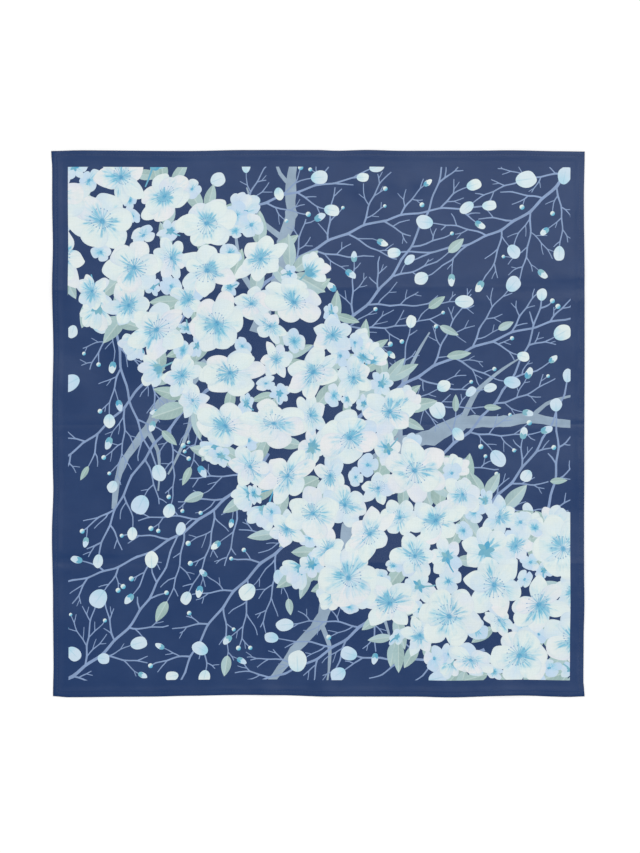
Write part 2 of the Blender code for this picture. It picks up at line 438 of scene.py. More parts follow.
class BandanaColours(bpy.types.PropertyGroup):
    """Colours of the dyed ground, the print and the thread."""

    navy: colour_property("Ground", "The dyed ground and border", srgb(23, 51, 94))
    petal_white: colour_property("Petal white", "The palest petals", srgb(212, 223, 221))
    petal_blush: colour_property("Petal blush", "The faint blush on some", srgb(220, 219, 222))
    petal_blue: colour_property("Petal blue", "The bluest petals", srgb(180, 203, 224))
    wash: colour_property("Wash", "The wash that runs out from a throat", srgb(146, 200, 220))
    throat: colour_property("Throat", "The throat of a blossom", srgb(84, 170, 200))
    teal: colour_property("Stamens", "The stamens, buttons and sepals", srgb(58, 136, 180))
    leaf: colour_property("Leaf", "The sage leaves", srgb(147, 177, 173))
    stem: colour_property("Stem", "Stems, shoots and twigs", srgb(131, 154, 191))
    bough: colour_property("Bough", "The broad boughs beneath the rest", srgb(145, 166, 186))
    thread: colour_property("Thread", "The sewing thread", srgb(50, 70, 108))


class StageLooks(bpy.types.PropertyGroup):
    """The floor, the light and the camera."""

    floor: colour_property("Floor", "Colour of the floor", (0.93, 0.93, 0.93))
    sky: bpy.props.FloatProperty(
        name="Surrounding light", description="Even light from all round", default=0.59
    )
    lamp: bpy.props.FloatProperty(
        name="Lamp", description="Strength of the soft lamp high above the top right", default=1.72
    )
    lens: bpy.props.FloatProperty(
        name="Lens", description="Focal length of the camera in millimetres", default=85.0
    )


def eased(share):
    """3t^2 - 2t^3: from 0 to 1 with level ends."""
    return share * share * (3 - 2 * share)


def stand_out(edge, along):
    """How far an edge stands out from straight: eased between the places of its table."""
    places, outs = np.array(list(edge.items()), float).T
    cell = np.clip(np.searchsorted(places, along) - 1, 0, len(places) - 2)
    share = np.clip((along - places[cell]) / (places[cell + 1] - places[cell]), 0, 1)
    return outs[cell] + eased(share) * (outs[cell + 1] - outs[cell])


def faded(distance):
    """1 on an edge, falling as a square to 0 at EDGE_FADE inside it."""
    return np.clip(1 - distance / EDGE_FADE, 0, 1) ** 2


def outlined(x, y):
    """Points of the straight-edged cloth, moved in and out as its uneven edges do."""
    left = stand_out(LEFT_EDGE, y) * faded(x + WIDTH / 2)
    right = stand_out(RIGHT_EDGE, y) * faded(WIDTH / 2 - x)
    top = stand_out(TOP_EDGE, x) * faded(HEIGHT / 2 - y)
    bottom = stand_out(BOTTOM_EDGE, x) * faded(y + HEIGHT / 2)
    return x - left + right, y + top - bottom


def line_and_rise(row, x):
    """Where a fold or crease line runs at x, and its rise there: a parabola through its rises."""
    across = x / WIDTH + 0.5
    line = row.at_left + across * (row.at_right - row.at_left)
    ends = row.rise_left + across * (row.rise_right - row.rise_left)
    middle = row.rise_middle - (row.rise_left + row.rise_right) / 2
    return line, np.maximum(ends + 4 * across * (1 - across) * middle, 0)


def rounded(distance):
    """The distance from a line, rounded off near it by CREASE_RADIUS: hypot(d, r) - r."""
    return np.hypot(distance, CREASE_RADIUS) - CREASE_RADIUS


def fold_height(fold, x, y):
    """Lift over one broad ridge: (1 - t)^1.5, where t is the rounded distance from the line over
    the reach on that side."""
    line, rise = line_and_rise(fold, x)
    t = np.clip(rounded(y - line) / np.where(y > line, fold.above, fold.below), 0, 1)
    return rise * (1 - t) ** 1.5


def crease_height(crease, x, y):
    """Lift over one narrow line: (1 - t)^2 over a crest, 6.75 t (1 - t)^2 over a groove and
    -(1 - t^2)^2 in a dip, where t is the rounded distance from the line over its reach."""
    line, rise = line_and_rise(crease, x)
    t = np.clip(rounded(y - line) / crease.reach, 0, 1)
    forms = {"crest": (1 - t) ** 2, "groove": 6.75 * t * (1 - t) ** 2, "dip": -((1 - t**2) ** 2)}
    return rise * forms[crease.form]


def swell_height(swell, x, y):
    """Lift over one swell: cos^2 along it times cos^2 across it, within its length and reaches."""
    turn = np.radians(swell.turn)
    right = x - swell.x
    up = y - swell.y
    along = (right * np.cos(turn) + up * np.sin(turn)) / swell.length
    across = up * np.cos(turn) - right * np.sin(turn)
    across = across / np.where(across > 0, swell.above, swell.below)
    inside = (np.abs(along) < 1) & (np.abs(across) < 1)
    shape = (np.cos(np.pi / 2 * along) * np.cos(np.pi / 2 * across)) ** 2
    return np.where(inside, swell.rise * shape, 0.0)


def cockle_height(x, y):
    """Fine unevenness: a sum of bent sines of different lengths and headings, kept above 0."""
    total = np.zeros_like(x)
    for index, length in enumerate(COCKLE_LENGTHS):
        heading = 0.9 + 2.4 * index
        bent = 1.3 * index + 0.9 * np.sin(y / (1.7 * length)) + 0.8 * np.cos(x / (2.1 * length))
        along = x * np.cos(heading) + y * np.sin(heading)
        total += (1 + np.sin(2 * np.pi * along / length + bent)) / 2 * length / sum(COCKLE_LENGTHS)
    return COCKLE_HEIGHT * total


def curl_height(x, y):
    """The outer edge's curl: (1 - d / reach)^2 on each side, d being the distance from it."""
    sides = (
        (CURL_TOP, HEIGHT / 2 - y),
        (CURL_BOTTOM, HEIGHT / 2 + y),
        (CURL_SIDES, WIDTH / 2 - np.abs(x)),
    )
    curls = [curl * np.clip(1 - away / CURL_REACH, 0, 1) ** 2 for curl, away in sides]
    return np.max(np.array(curls), axis=0)


def inward(x, y):
    """Distance from the nearest straight edge of the cloth."""
    return np.minimum(WIDTH / 2 - np.abs(x), HEIGHT / 2 - np.abs(y))


def pucker_height(x, y):
    """Puckers that the stitching pulls along the hem: sines along each edge, bent by slower sines
    and strongest by the seam."""
    by_side = WIDTH / 2 - np.abs(x) < HEIGHT / 2 - np.abs(y)
    along = np.where(by_side, y, x)
    wave = 1 + np.sin(2 * np.pi * along / PUCKER_LENGTH + 2.2 * np.sin(along / 19) + x / 60)
    fade = np.clip(1 - np.abs(inward(x, y) - PUCKER_PLACE) / PUCKER_REACH, 0, 1) ** 2
    return PUCKER_HEIGHT / 2 * wave * fade


def lift(x, y):
    """How far the underside stands off the ground: the cube root of the sum of the cubes of all
    folds and swells, so that the highest leads and they melt together, with the rest on top."""
    heights = [fold_height(fold, x, y) for fold in FOLDS]
    heights += [swell_height(swell, x, y) for swell in SWELLS]
    total = np.cbrt(np.sum(np.array(heights) ** 3, axis=0))
    for crease in CREASES:
        total += crease_height(crease, x, y)
    return total + cockle_height(x, y) + curl_height(x, y) + pucker_height(x, y)


def stitch_valley(x, y, sizes):
    """The valley along the stitching, eased from its middle to its sides."""
    away = np.abs(inward(x, y) - sizes.stitch_inset / MM)
    return STITCH_VALLEY * eased(np.clip(1 - away / STITCH_VALLEY_REACH, 0, 1))


def layers(x, y, sizes):
    """The hem's layers: 1 on the hem, eased to 0 inside it, and more in its corners."""
    hem = sizes.hem_width / MM
    side_hem = 1 - eased(np.clip((WIDTH / 2 - np.abs(x) - hem) / HEM_STEP, 0, 1))
    end_hem = 1 - eased(np.clip((HEIGHT / 2 - np.abs(y) - hem) / HEM_STEP, 0, 1))
    in_corner = np.clip(inward(x, y) / (sizes.hem_thickness / MM / 2), 0, 1)
    return np.maximum(side_hem, end_hem) + CORNER_SHARE * side_hem * end_hem * in_corner


def rolled_edge(x, y, radius):
    """The hem's rolled outer edge: the height of a quarter circle of that radius, from 0 on the
    edge to the radius that far in."""
    short = np.clip(radius - inward(x, y), 0, radius)
    return np.sqrt(radius * radius - short * short)


def underside_height(x, y, sizes):
    """The underside: the lift, a quarter circle up the rolled outer edge, the stitched valley, and
    the single cloth that hangs from the hem's upper side, behind the hem's folded edge."""
    cloth = sizes.cloth_thickness / MM
    radius = sizes.hem_thickness / MM / 2
    behind = eased(np.clip((inward(x, y) - sizes.hem_width / MM) / EDGE_STEP, 0, 1))
    hanging = behind * layers(x, y, sizes) * (2 * radius - cloth)
    roll = radius - rolled_edge(x, y, radius)
    return lift(x, y) + roll + hanging + stitch_valley(x, y, sizes)


def top_height(x, y, sizes):
    """The upper side: the lift, a quarter circle over the rolled outer edge, the level hem with its
    stitched valley and thicker corners, and an eased slope down to one layer of cloth."""
    cloth = sizes.cloth_thickness / MM
    radius = sizes.hem_thickness / MM / 2
    roll = radius + rolled_edge(x, y, radius)
    return lift(x, y) + cloth + layers(x, y, sizes) * (roll - cloth) - stitch_valley(x, y, sizes)


def slope_normals(height, x, y, sizes):
    """Unit normals of a height, from its differences over a small step each way."""
    step = 0.15
    across = (height(x + step, y, sizes) - height(x - step, y, sizes)) / (2 * step)
    up = (height(x, y + step, sizes) - height(x, y - step, sizes)) / (2 * step)
    normals = np.stack([-across, -up, np.ones_like(across)], axis=1)
    return normals / np.linalg.norm(normals, axis=1, keepdims=True)


def sheet_shift():
    """How far the straight square's middle lies from the middle of the solid's box."""
    low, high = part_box("bandana")
    middle = (low + high) / 2 / MM
    share = np.linspace(-0.5, 0.5, 400)
    x, y = share * WIDTH, share * HEIGHT
    left = outlined(np.full_like(x, -WIDTH / 2), y)[0].min()
    right = outlined(np.full_like(x, WIDTH / 2), y)[0].max()
    bottom = outlined(x, np.full_like(y, -HEIGHT / 2))[1].min()
    top = outlined(x, np.full_like(y, HEIGHT / 2))[1].max()
    return middle[0] - (left + right) / 2, middle[1] - (bottom + top) / 2


# One painted shape. Its own coordinates are to_local @ (point - at), and those of the blossom that
# it belongs to are to_bloom @ (point - bloom_at).
Motif = namedtuple("Motif", "kind outline at to_local bloom_at to_bloom tone seed style")


# A stem's path: its points, their headings in radians, and the places and sides of its knots.
Path = namedtuple("Path", "points angle knots")


def turned(angle):
    """The matrix that turns by an angle in radians."""
    return np.array([[np.cos(angle), -np.sin(angle)], [np.sin(angle), np.cos(angle)]])


def heading_to(degrees):
    """The unit vector of a heading in degrees."""
    return np.array([np.cos(np.radians(degrees)), np.sin(np.radians(degrees))])


def between(limits, share):
    """The number that lies at a share of the way from the first limit to the second."""
    return limits[0] + share * (limits[1] - limits[0])


def heading_of(vector):
    """The heading of a vector in degrees."""
    return np.degrees(np.arctan2(vector[1], vector[0]))


def lone_motif(rng, kind, outline, at, matrix):
    """A shape that belongs to no blossom: both its coordinates are its own."""
    inverse = np.linalg.inv(matrix)
    tone, seed = rng.uniform(size=2)
    return Motif(kind, outline, at, inverse, at, inverse, tone, seed, 0.0)


def placed_motif(rng, kind, shape, at, matrix):
    """The same, with its outline given in its own coordinates."""
    return lone_motif(rng, kind, at + shape @ matrix.T, at, matrix)


def petal_outline(rng, points=20, waist=0.55, flare=0.6, wobble=0.035, point=0.0):
    """A petal from its base at 0 to its tip at 1: a circle whose width grows towards the tip by
    waist + flare * along, drawn out to a tip by (1 - along)^point, wavering by a few hundredths."""
    turn = np.linspace(0, 2 * np.pi, points, endpoint=False)
    along = 0.5 - 0.5 * np.cos(turn)
    across = np.sin(turn) * (waist + flare * along) * (1 + point) * (1 - 0.98 * along) ** point
    sway = rng.uniform(0, 2 * np.pi, 3)
    along = along * (1 + wobble * np.sin(3 * turn + sway[0]))
    across = across * (1 + wobble * np.sin(2 * turn + sway[1]))
    across = across + wobble * along * np.sin(turn * 4 + sway[2])
    return np.stack([along, across], axis=1)


def leaf_outline(points=11, sharp=0.8, belly=0.42):
    """A leaf from its stalk at 0 to its tip at 1. Each side is (sin(pi s^k))^sharp, where s is the
    place along it and k makes it widest at belly."""
    share = np.linspace(0, 1, points)
    side = np.abs(np.sin(np.pi * share ** (np.log(0.5) / np.log(belly)))) ** sharp
    upper = np.stack([share, side], axis=1)
    lower = np.stack([share[1:-1], -side[1:-1]], axis=1)[::-1]
    return np.concatenate([upper, lower])


def ring_outline(points):
    """A circle."""
    turn = np.linspace(0, 2 * np.pi, points, endpoint=False)
    return np.stack([np.cos(turn), np.sin(turn)], axis=1)


def petal(rng, bloom, at, angle, root, length, half_width, tone, style, points, point=0.0):
    """One petal of a blossom, whose affine matrix is bloom and whose middle is at. Its angle is in
    radians, and it starts at root."""
    matrix = bloom @ turned(angle) @ np.diag([length - root, half_width])
    start = at + bloom @ turned(angle) @ np.array([root, 0.0])
    outline = start + petal_outline(rng, points, point=point) @ matrix.T
    shade = np.clip(tone + rng.normal(0, 0.15), 0, 1)
    inverse = np.linalg.inv(matrix)
    return Motif(
        "petal", outline, start, inverse, at, np.linalg.inv(bloom), shade, rng.uniform(), style
    )


def blossom(rng, x, y, radius, form, tone):
    """A throat disc and its whorls of petals, tipped to one side by an affine matrix. A nodding one
    turns its back: a star of sepals on a stalk."""
    at = np.array([x, y])
    lean = rng.uniform(0, np.pi)
    tip = turned(lean) @ np.diag([1.0, rng.uniform(TIPPED_LEAST, 1.0)]) @ turned(-lean)
    bloom = radius * tip @ turned(rng.uniform(0, 2 * np.pi))
    style = STYLES[form]
    points = LARGE_PETAL_POINTS if radius > LARGE_BLOSSOM else PETAL_POINTS
    disc = at + THROAT_DISC * ring_outline(16) @ bloom.T
    to_bloom = np.linalg.inv(bloom)
    to_disc = to_bloom / (2 * THROAT_DISC)
    motifs = [Motif("petal", disc, at, to_disc, at, to_bloom, tone, rng.uniform(), style)]
    for level, whorl in enumerate(FORMS[form]):
        step = 2 * np.pi / whorl.petals
        for index in rng.permutation(whorl.petals):
            angle = step * (index + 0.5 * level) + rng.normal(0, PETAL_SWAY)
            length = whorl.reach * rng.uniform(*PETAL_LENGTHS)
            half = whorl.half_width * rng.uniform(*PETAL_WIDTHS)
            shade = tone + BACK_TONE * (1 - level)
            row = (angle, PETAL_ROOT, length, half, shade, style, points, whorl.point)
            motifs.append(petal(rng, bloom, at, *row))
    if form == "nodding":
        stalk = curve(x, y, rng.uniform(0, 360), 0.75 * radius, 24)
        motifs.append(stem_motif(rng, stalk, (1.8, 1.3), kind="calyx"))
        motifs += sepals(rng, at, tip, NODDING_SEPALS, 0.36 * radius, 0.11 * radius)
    return motifs


def sepals(rng, root, turn, leans, length, half_width):
    """Pointed sepals fanned out from one place."""
    motifs = []
    for lean in leans:
        matrix = turn @ turned(np.radians(lean)) @ np.diag([length, half_width])
        motifs.append(placed_motif(rng, "calyx", leaf_outline(7), root, matrix))
    return motifs


def cup_blossom(rng, root, heading, size):
    """A half-open blossom from its side: a stalk, a fan of petals and the sepals that hold them."""
    way = heading_to(heading)
    at = root + way * size * 0.9
    turn = turned(np.radians(heading))
    stalk = curve(*root, heading, size * 0.92, rng.uniform(-12, 12))
    motifs = [stem_motif(rng, stalk, (1.3, 2.0), kind="calyx")]
    tone = rng.uniform(0.1, 0.6)
    style = STYLES["cup"]
    for row in CUP:
        angle = np.radians(row.lean + rng.normal(0, 4))
        length = row.length * rng.uniform(0.92, 1.05)
        half = row.half_width
        motifs.append(
            petal(rng, size * turn, at, angle, 0.0, length, half, tone, style, PETAL_POINTS)
        )
    base = at - way * size * 0.1
    return motifs + sepals(rng, base, turn, CUP_SEPALS, 0.40 * size, 0.11 * size)


def bud(rng, root, heading, size):
    """A closed bud: an oval in two sepals."""
    turn = turned(np.radians(heading))
    outline = petal_outline(rng, points=20, waist=0.85, flare=-0.1)
    motifs = [placed_motif(rng, "coin", outline, root, turn @ np.diag([size, 0.36 * size]))]
    return motifs + sepals(rng, root, turn, BUD_SEPALS, 0.55 * size, 0.15 * size)


def curve(x, y, heading, length, bend, knots=(), side=1):
    """A path whose heading turns evenly by bend over its length, and to and fro by KINK at its
    knots: its points, their headings, and each knot with the side that a shoot leaves it on."""
    count = max(int(round(length / PATH_STEP)), 2) + 1
    passed = np.searchsorted(knots, np.linspace(0, length, count))
    zigzag = np.where(passed % 2, -1, 1) * side * (KINK / 2 if len(knots) else 0)
    angle = np.radians(heading + bend * np.linspace(0, 1, count) + zigzag)
    moves = np.stack([np.cos(angle), np.sin(angle)], axis=1) * length / (count - 1)
    walk = np.concatenate([[[0.0, 0.0]], np.cumsum((moves[1:] + moves[:-1]) / 2, axis=0)])
    sides = [(int(knot / PATH_STEP), side * (-1) ** index) for index, knot in enumerate(knots)]
    return Path(np.array([x, y]) + walk, angle, sides)


def grown(rng, x, y, heading, length, bend, depth):
    """A path with knots as its shoots are spaced, if it has any."""
    if depth == len(LEVELS):
        return curve(x, y, heading, length, bend)
    level = LEVELS[depth]
    count = int(length / level.gap_least) + 1
    knots = np.cumsum(rng.uniform(level.gap_least, level.gap_most, count)) - 0.4 * level.gap_least
    return curve(x, y, heading, length, bend, knots[knots < length - 3], rng.choice([-1, 1]))


def stem_motif(rng, path, widths, kind="stem", spacing=5.0, rough=0.0):
    """A tapering stem: half its width to each side of its path, at points this far apart and at its
    knots, where it is a little thicker. A rough one wavers in width."""
    points, angle, knots = path
    count = max(int(np.ceil((len(points) - 1) * PATH_STEP / spacing)) + 1, 3)
    kept = np.round(np.linspace(0, len(points) - 1, count)).astype(int)
    bends = [place for place, _ in knots if place < len(points) - 1]
    kept = np.unique(np.concatenate([kept, bends]).astype(int))
    kept = kept[np.append(True, np.diff(kept) > 1)]
    half = np.linspace(widths[0], widths[1], len(points))[kept] / 2
    half = half * np.where(np.isin(kept, bends), 1.18, 1.0)
    way = (angle[kept] + angle[np.maximum(kept - 1, 0)]) / 2
    side = np.stack([-np.sin(way), np.cos(way)], axis=1)
    left, right = half * (1 + rough * rng.uniform(-1, 1, (2, len(kept))))
    left_side = points[kept] + side * left[:, None]
    right_side = points[kept] - side * right[:, None]
    outline = np.concatenate([left_side, right_side[::-1]])
    matrix = turned(angle[0]) @ np.diag([20.0, widths[0]])
    return lone_motif(rng, kind, outline, points[kept[0]], matrix)


def coin_leaf(rng, root, heading, length):
    """A round pale leaf."""
    outline = petal_outline(rng, points=26, waist=0.9, flare=0.15, wobble=0.03)
    matrix = turned(np.radians(heading)) @ np.diag([length, length * rng.uniform(0.34, 0.46)])
    return placed_motif(rng, "coin", outline, root, matrix)


def sage_leaf(rng, root, heading, length):
    """A lance-shaped sage leaf."""
    matrix = turned(np.radians(heading)) @ np.diag([length, length * rng.uniform(0.17, 0.24)])
    return placed_motif(rng, "leaf", leaf_outline(), root, matrix)


def berry(rng, at, size):
    """A round berry."""
    return placed_motif(rng, "berry", ring_outline(10), at, np.diag([size, size]))


def garland_line(points=200):
    """The garland's middle line and reach: a Catmull-Rom curve through the rows of its table."""
    rows = np.array(GARLAND, float)
    rows = np.concatenate([[2 * rows[0] - rows[1]], rows, [2 * rows[-1] - rows[-2]]])
    place = np.linspace(0, len(GARLAND) - 1 - 1e-9, points)
    cell = place.astype(int)
    t = (place - cell)[:, None]
    before, start, end, after = (rows[cell + shift] for shift in range(4))
    cubic = 3 * start - before - 3 * end + after
    square = 2 * before - 5 * start + 4 * end - after
    return 0.5 * (2 * start + (end - before) * t + square * t**2 + cubic * t**3)


def outside_garland(line, points):
    """How far each point lies outside the garland's reach, or below 0 within it."""
    away = np.linalg.norm(points[:, None] - line[None, :, :2], axis=2) - line[None, :, 2]
    return away.min(axis=1)


class Room:
    """Which stem keeps each square millimetre of the cloth clear: its number, 0 if none does, or -1
    deep in the garland and outside the printed field."""

    def __init__(self, line):
        self.half = (np.array([WIDTH, HEIGHT]) / 2 + STEM_OVERRUN + 1).astype(int)
        self.owner = np.zeros(2 * self.half + 1, int)
        self.count = 1
        across, up = np.indices(self.owner.shape)
        places = np.stack([across.ravel(), up.ravel()], axis=1) - self.half
        deep = outside_garland(line[::4], places.astype(float)) < -STEM_DEPTH
        self.owner.ravel()[deep | off_field(places, STEM_OVERRUN)] = -1

    def cells(self, points):
        """The square of each point, kept on the cloth."""
        return np.clip(np.round(points).astype(int) + self.half, 0, 2 * self.half)

    def mark(self, points, reach):
        """Keeps a band round a path clear and returns the number that it gets."""
        self.count += 1
        spread = np.arange(-reach, reach + 1)
        disc = np.array([(a, b) for a in spread for b in spread if a * a + b * b <= reach * reach])
        cells = self.cells((points[:, None] + disc[None]).reshape(-1, 2))
        self.owner[cells[:, 0], cells[:, 1]] = self.count
        return self.count

    def free_points(self, points, parent, skip):
        """How many points of a path come before the first that another stem keeps clear. The
        parent's own band doesn't count over the first few points."""
        cells = self.cells(points)
        owner = self.owner[cells[:, 0], cells[:, 1]]
        blocked = (owner != 0) & ~((owner == parent) & (np.arange(len(points)) < skip))
        blocked[0] = False
        return int(np.argmax(blocked)) if blocked.any() else len(points)


def side_shoots(rng, parent, number, depth, room):
    """A shoot from each knot of a path, cut off where it would meet another stem."""
    level = LEVELS[depth]
    length = PATH_STEP * (len(parent.points) - 1)
    skip = int(2.2 * (level.room + 2) / PATH_STEP)
    shoots = []
    for index, side in parent.knots:
        if index >= len(parent.points) - 1:
            continue
        reach = level.base + level.share * (length - index * PATH_STEP)
        reach *= rng.uniform(*SHOOT_LENGTHS)
        heading = np.degrees(parent.angle[index])
        heading += side * rng.uniform(level.turn_least, level.turn_most)
        bend = -side * rng.uniform(level.bend_least, level.bend_most)
        path = grown(rng, *parent.points[index], heading, reach, bend, depth + 1)
        free = room.free_points(path.points, number, skip)
        if (free - 1) * PATH_STEP >= level.least:
            shoot = Path(path.points[:free], path.angle[:free], path.knots)
            shoots.append((shoot, room.mark(shoot.points, level.room)))
    return shoots


def bough_motifs(rng, row):
    """One bough with its side boughs, rough in width and bent at its knees."""
    knots = np.cumsum(rng.uniform(*KNEE_GAPS, 8))
    path = curve(row.x, row.y, row.heading, row.length, row.bend, knots[knots < row.length - 12])
    motifs = [stem_motif(rng, path, row.widths, "bough", BOUGH_POINTS, BOUGH_ROUGH)]
    for index, side in path.knots[::2]:
        left = SIDE_BOUGH_SHARE * (row.length - index * PATH_STEP)
        heading = np.degrees(path.angle[index]) + side * rng.uniform(*SIDE_BOUGH_TURN)
        shoot = curve(*path.points[index], heading, left + 20, -side * 24, [0.4 * left + 8], side)
        start = SIDE_BOUGH_SHARE * np.interp(index, (0, len(path.points)), row.widths)
        widths = (start, 1.6)
        motifs.append(stem_motif(rng, shoot, widths, "bough", BOUGH_POINTS, SIDE_BOUGH_ROUGH))
    return motifs


def stems_and_tips(rng, line):
    """Every bough, stem, shoot and twig of the print, and the ends of each with its depth."""
    boughs = [motif for row in BOUGHS for motif in bough_motifs(rng, row)]
    room = Room(line)
    paths = [grown(rng, row.x, row.y, row.heading, row.length, row.bend, 0) for row in STEMS]
    parents = [(path, room.mark(path.points, LEVELS[0].room)) for path in paths]
    motifs = [stem_motif(rng, path, STEM_WIDTHS) for path in paths]
    tips = [(path, 0) for path in paths]
    for depth, level in enumerate(LEVELS):
        families = [side_shoots(rng, path, number, depth, room) for path, number in parents]
        parents = [shoot for family in families for shoot in family]
        motifs = [stem_motif(rng, path, level.widths) for path, _ in parents] + motifs
        tips += [(path, depth + 1) for path, _ in parents]
    return boughs + motifs, tips


def tip_motifs(rng, line, tips):
    """Leaves, buds and berries on the tips of stems, and drifting leaves, none on another."""
    places = []

    def clear(at, radius, margin):
        """Takes a place unless something is there already."""
        free = all(np.hypot(*(at - other)) > radius + size + margin for other, size in places)
        if free:
            places.append((at, radius))
        return free

    motifs = []
    for path, depth in tips:
        end = path.points[-1]
        heading = np.degrees(path.angle[-1])
        way = heading_to(heading)
        draw, size = rng.uniform(size=2)
        if outside_garland(line, end[None])[0] < -TIP_DEPTH:
            continue
        if draw < COIN_LIMITS[depth]:
            length = between(COIN_LENGTHS, size)
            if clear(end + way * length / 2, length / 2, 1.5):
                motifs.append(coin_leaf(rng, end, heading, length))
        elif draw < SAGE_LIMITS[depth]:
            length = between(SAGE_LENGTHS, size)
            if clear(end + way * length / 2, length / 2.4, 1.0):
                motifs.append(sage_leaf(rng, end, heading, length))
        elif draw < BUD_LIMITS[depth]:
            if clear(end + way * 5, 5.5, 1.0):
                motifs += bud(rng, end, heading, between(BUD_LENGTHS, size))
        elif draw > BERRY_LIMIT and clear(end, 2.5, 0.8):
            motifs.append(berry(rng, end, between(BERRY_SIZES, size)))
    for _ in range(DRIFTING_TRIES):
        at = rng.uniform((FIELD_LEFT, FIELD_BOTTOM), (FIELD_RIGHT, FIELD_TOP))
        length = rng.uniform(*DRIFTING_LENGTHS)
        outside = outside_garland(line, at[None])[0]
        if outside < DRIFTING_GAP or not clear(at, length / 2, DRIFTING_ROOM):
            continue
        heading = rng.uniform(0, 360)
        motifs.append(coin_leaf(rng, at - heading_to(heading) * length / 2, heading, length))
    return motifs


def garland_blossoms(rng, line):
    """Blossoms scattered over the garland, the largest first, each kept apart from those placed."""
    placed = []

    def crowded(x, y, radius, apart):
        """Whether a blossom there would stand too close to another."""
        return any(np.hypot(x - a, y - b) < apart * (radius + size) for a, b, size, _, _ in placed)

    for size in BLOSSOM_SIZES:
        for _ in range(size.tries):
            radius = rng.uniform(size.least, size.most)
            over = BLOSSOM_OVERHANG * radius
            x = rng.uniform(FIELD_LEFT - over, FIELD_RIGHT + over)
            y = rng.uniform(FIELD_BOTTOM - over, FIELD_TOP + over)
            near = outside_garland(line[::3], np.array([[x, y]]))[0] < -BLOSSOM_DEPTH * radius
            if near and not crowded(x, y, radius, size.apart):
                placed.append((x, y, radius, rng.choice(size.forms), size.tone))
    return placed


def rim_motifs(rng, line, blossoms):
    """Sage leaves that look out from behind the large blossoms, and half-open blossoms that lean
    out of the garland's rim."""
    motifs = []
    for x, y, radius, form, _ in blossoms:
        if form == "floret":
            continue
        nearest = np.argmin(np.hypot(line[:, 0] - x, line[:, 1] - y))
        away = heading_of(np.array([x, y]) - line[nearest, :2])
        for fan in rng.uniform(-RIM_LEAF_FAN, RIM_LEAF_FAN, rng.integers(1, 4)):
            root = np.array([x, y]) + heading_to(away + fan) * RIM_LEAF_ROOT * radius
            heading = away + fan + rng.uniform(-RIM_LEAF_TURN, RIM_LEAF_TURN)
            motifs.append(sage_leaf(rng, root, heading, rng.uniform(*RIM_LEAF_LENGTHS)))
    ahead = np.gradient(line[:, :2], axis=0)
    for index in range(len(line))[RIM_CUP_PLACES]:
        for side in (-1, 1):
            if rng.uniform() < RIM_CUP_SHARE:
                out = heading_of((-side * ahead[index, 1], side * ahead[index, 0]))
                out += rng.uniform(-RIM_CUP_TURN, RIM_CUP_TURN)
                root = line[index, :2] + heading_to(out) * (line[index, 2] - RIM_CUP_DEPTH)
                motifs += cup_blossom(rng, root, out, rng.uniform(*RIM_CUP_SIZES))
    return motifs


def print_motifs():
    """Every painted shape of the print, in the order in which they are painted."""
    rng = np.random.default_rng(PRINT_SEED)
    line = garland_line()
    motifs, tips = stems_and_tips(rng, line)
    motifs += tip_motifs(rng, line, tips)
    blossoms = garland_blossoms(rng, line)
    motifs += rim_motifs(rng, line, blossoms)
    for x, y, radius, form, tone in reversed(blossoms):
        motifs += blossom(rng, x, y, radius, form, tone)
    return motifs


def winds_round(points, outline):
    """Which points an outline winds round, by the crossings of the ray from each towards +X."""
    ends = np.roll(outline, -1, axis=0)
    low = outline[:, 1][None] <= points[:, 1][:, None]
    high = ends[:, 1][None] <= points[:, 1][:, None]
    rise = np.where(ends[:, 1] == outline[:, 1], 1.0, ends[:, 1] - outline[:, 1])
    share = (points[:, 1][:, None] - outline[:, 1][None]) / rise[None]
    right = outline[:, 0][None] + share * (ends[:, 0] - outline[:, 0])[None] > points[:, 0][:, None]
    winding = np.sum(low & ~high & right, axis=1) - np.sum(~low & high & right, axis=1)
    return winding != 0


def topmost(points, motifs, owner=None):
    """The last painted shape that holds each point, or -1. With an owner for each point, only the
    shapes painted after it count."""
    order = np.argsort(points[:, 1], kind="stable")
    rows = points[order, 1]
    top = np.full(len(points), -1)
    for index in range(len(motifs) - 1, -1, -1):
        outline = motifs[index].outline
        low, high = outline.min(axis=0), outline.max(axis=0)
        near = order[slice(*np.searchsorted(rows, (low[1], high[1])))]
        still_open = (top[near] < 0) & (points[near, 0] >= low[0]) & (points[near, 0] <= high[0])
        if owner is not None:
            still_open &= owner[near] < index
        near = near[still_open]
        top[near[winds_round(points[near], outline)]] = index
    return top


def off_field(points, margin=0.0):
    """Which points lie outside the printed field, by more than the margin."""
    x, y = points.T
    off_side = (x < FIELD_LEFT - margin) | (x > FIELD_RIGHT + margin)
    return off_side | (y < FIELD_BOTTOM - margin) | (y > FIELD_TOP + margin)


def motif_edges(motifs):
    """The outlines' points and edges, without the edges that later shapes cover or that lie outside
    the printed field."""
    points = np.concatenate([motif.outline for motif in motifs])
    counts = np.array([len(motif.outline) for motif in motifs])
    owner = np.repeat(np.arange(len(motifs)), counts)
    first = np.repeat(np.cumsum(counts) - counts, counts)
    after = np.arange(len(points)) + 1
    last = after == first + np.repeat(counts, counts)
    after[last] = first[last]
    middles = (points + points[after]) / 2
    covered = topmost(points, motifs, owner) >= 0
    hidden = covered & covered[after] & (topmost(middles, motifs, owner) >= 0)
    outside = off_field(points)
    kept = ~(hidden | (outside & outside[after]))
    return points, np.stack([np.flatnonzero(kept), after[kept]], axis=1)


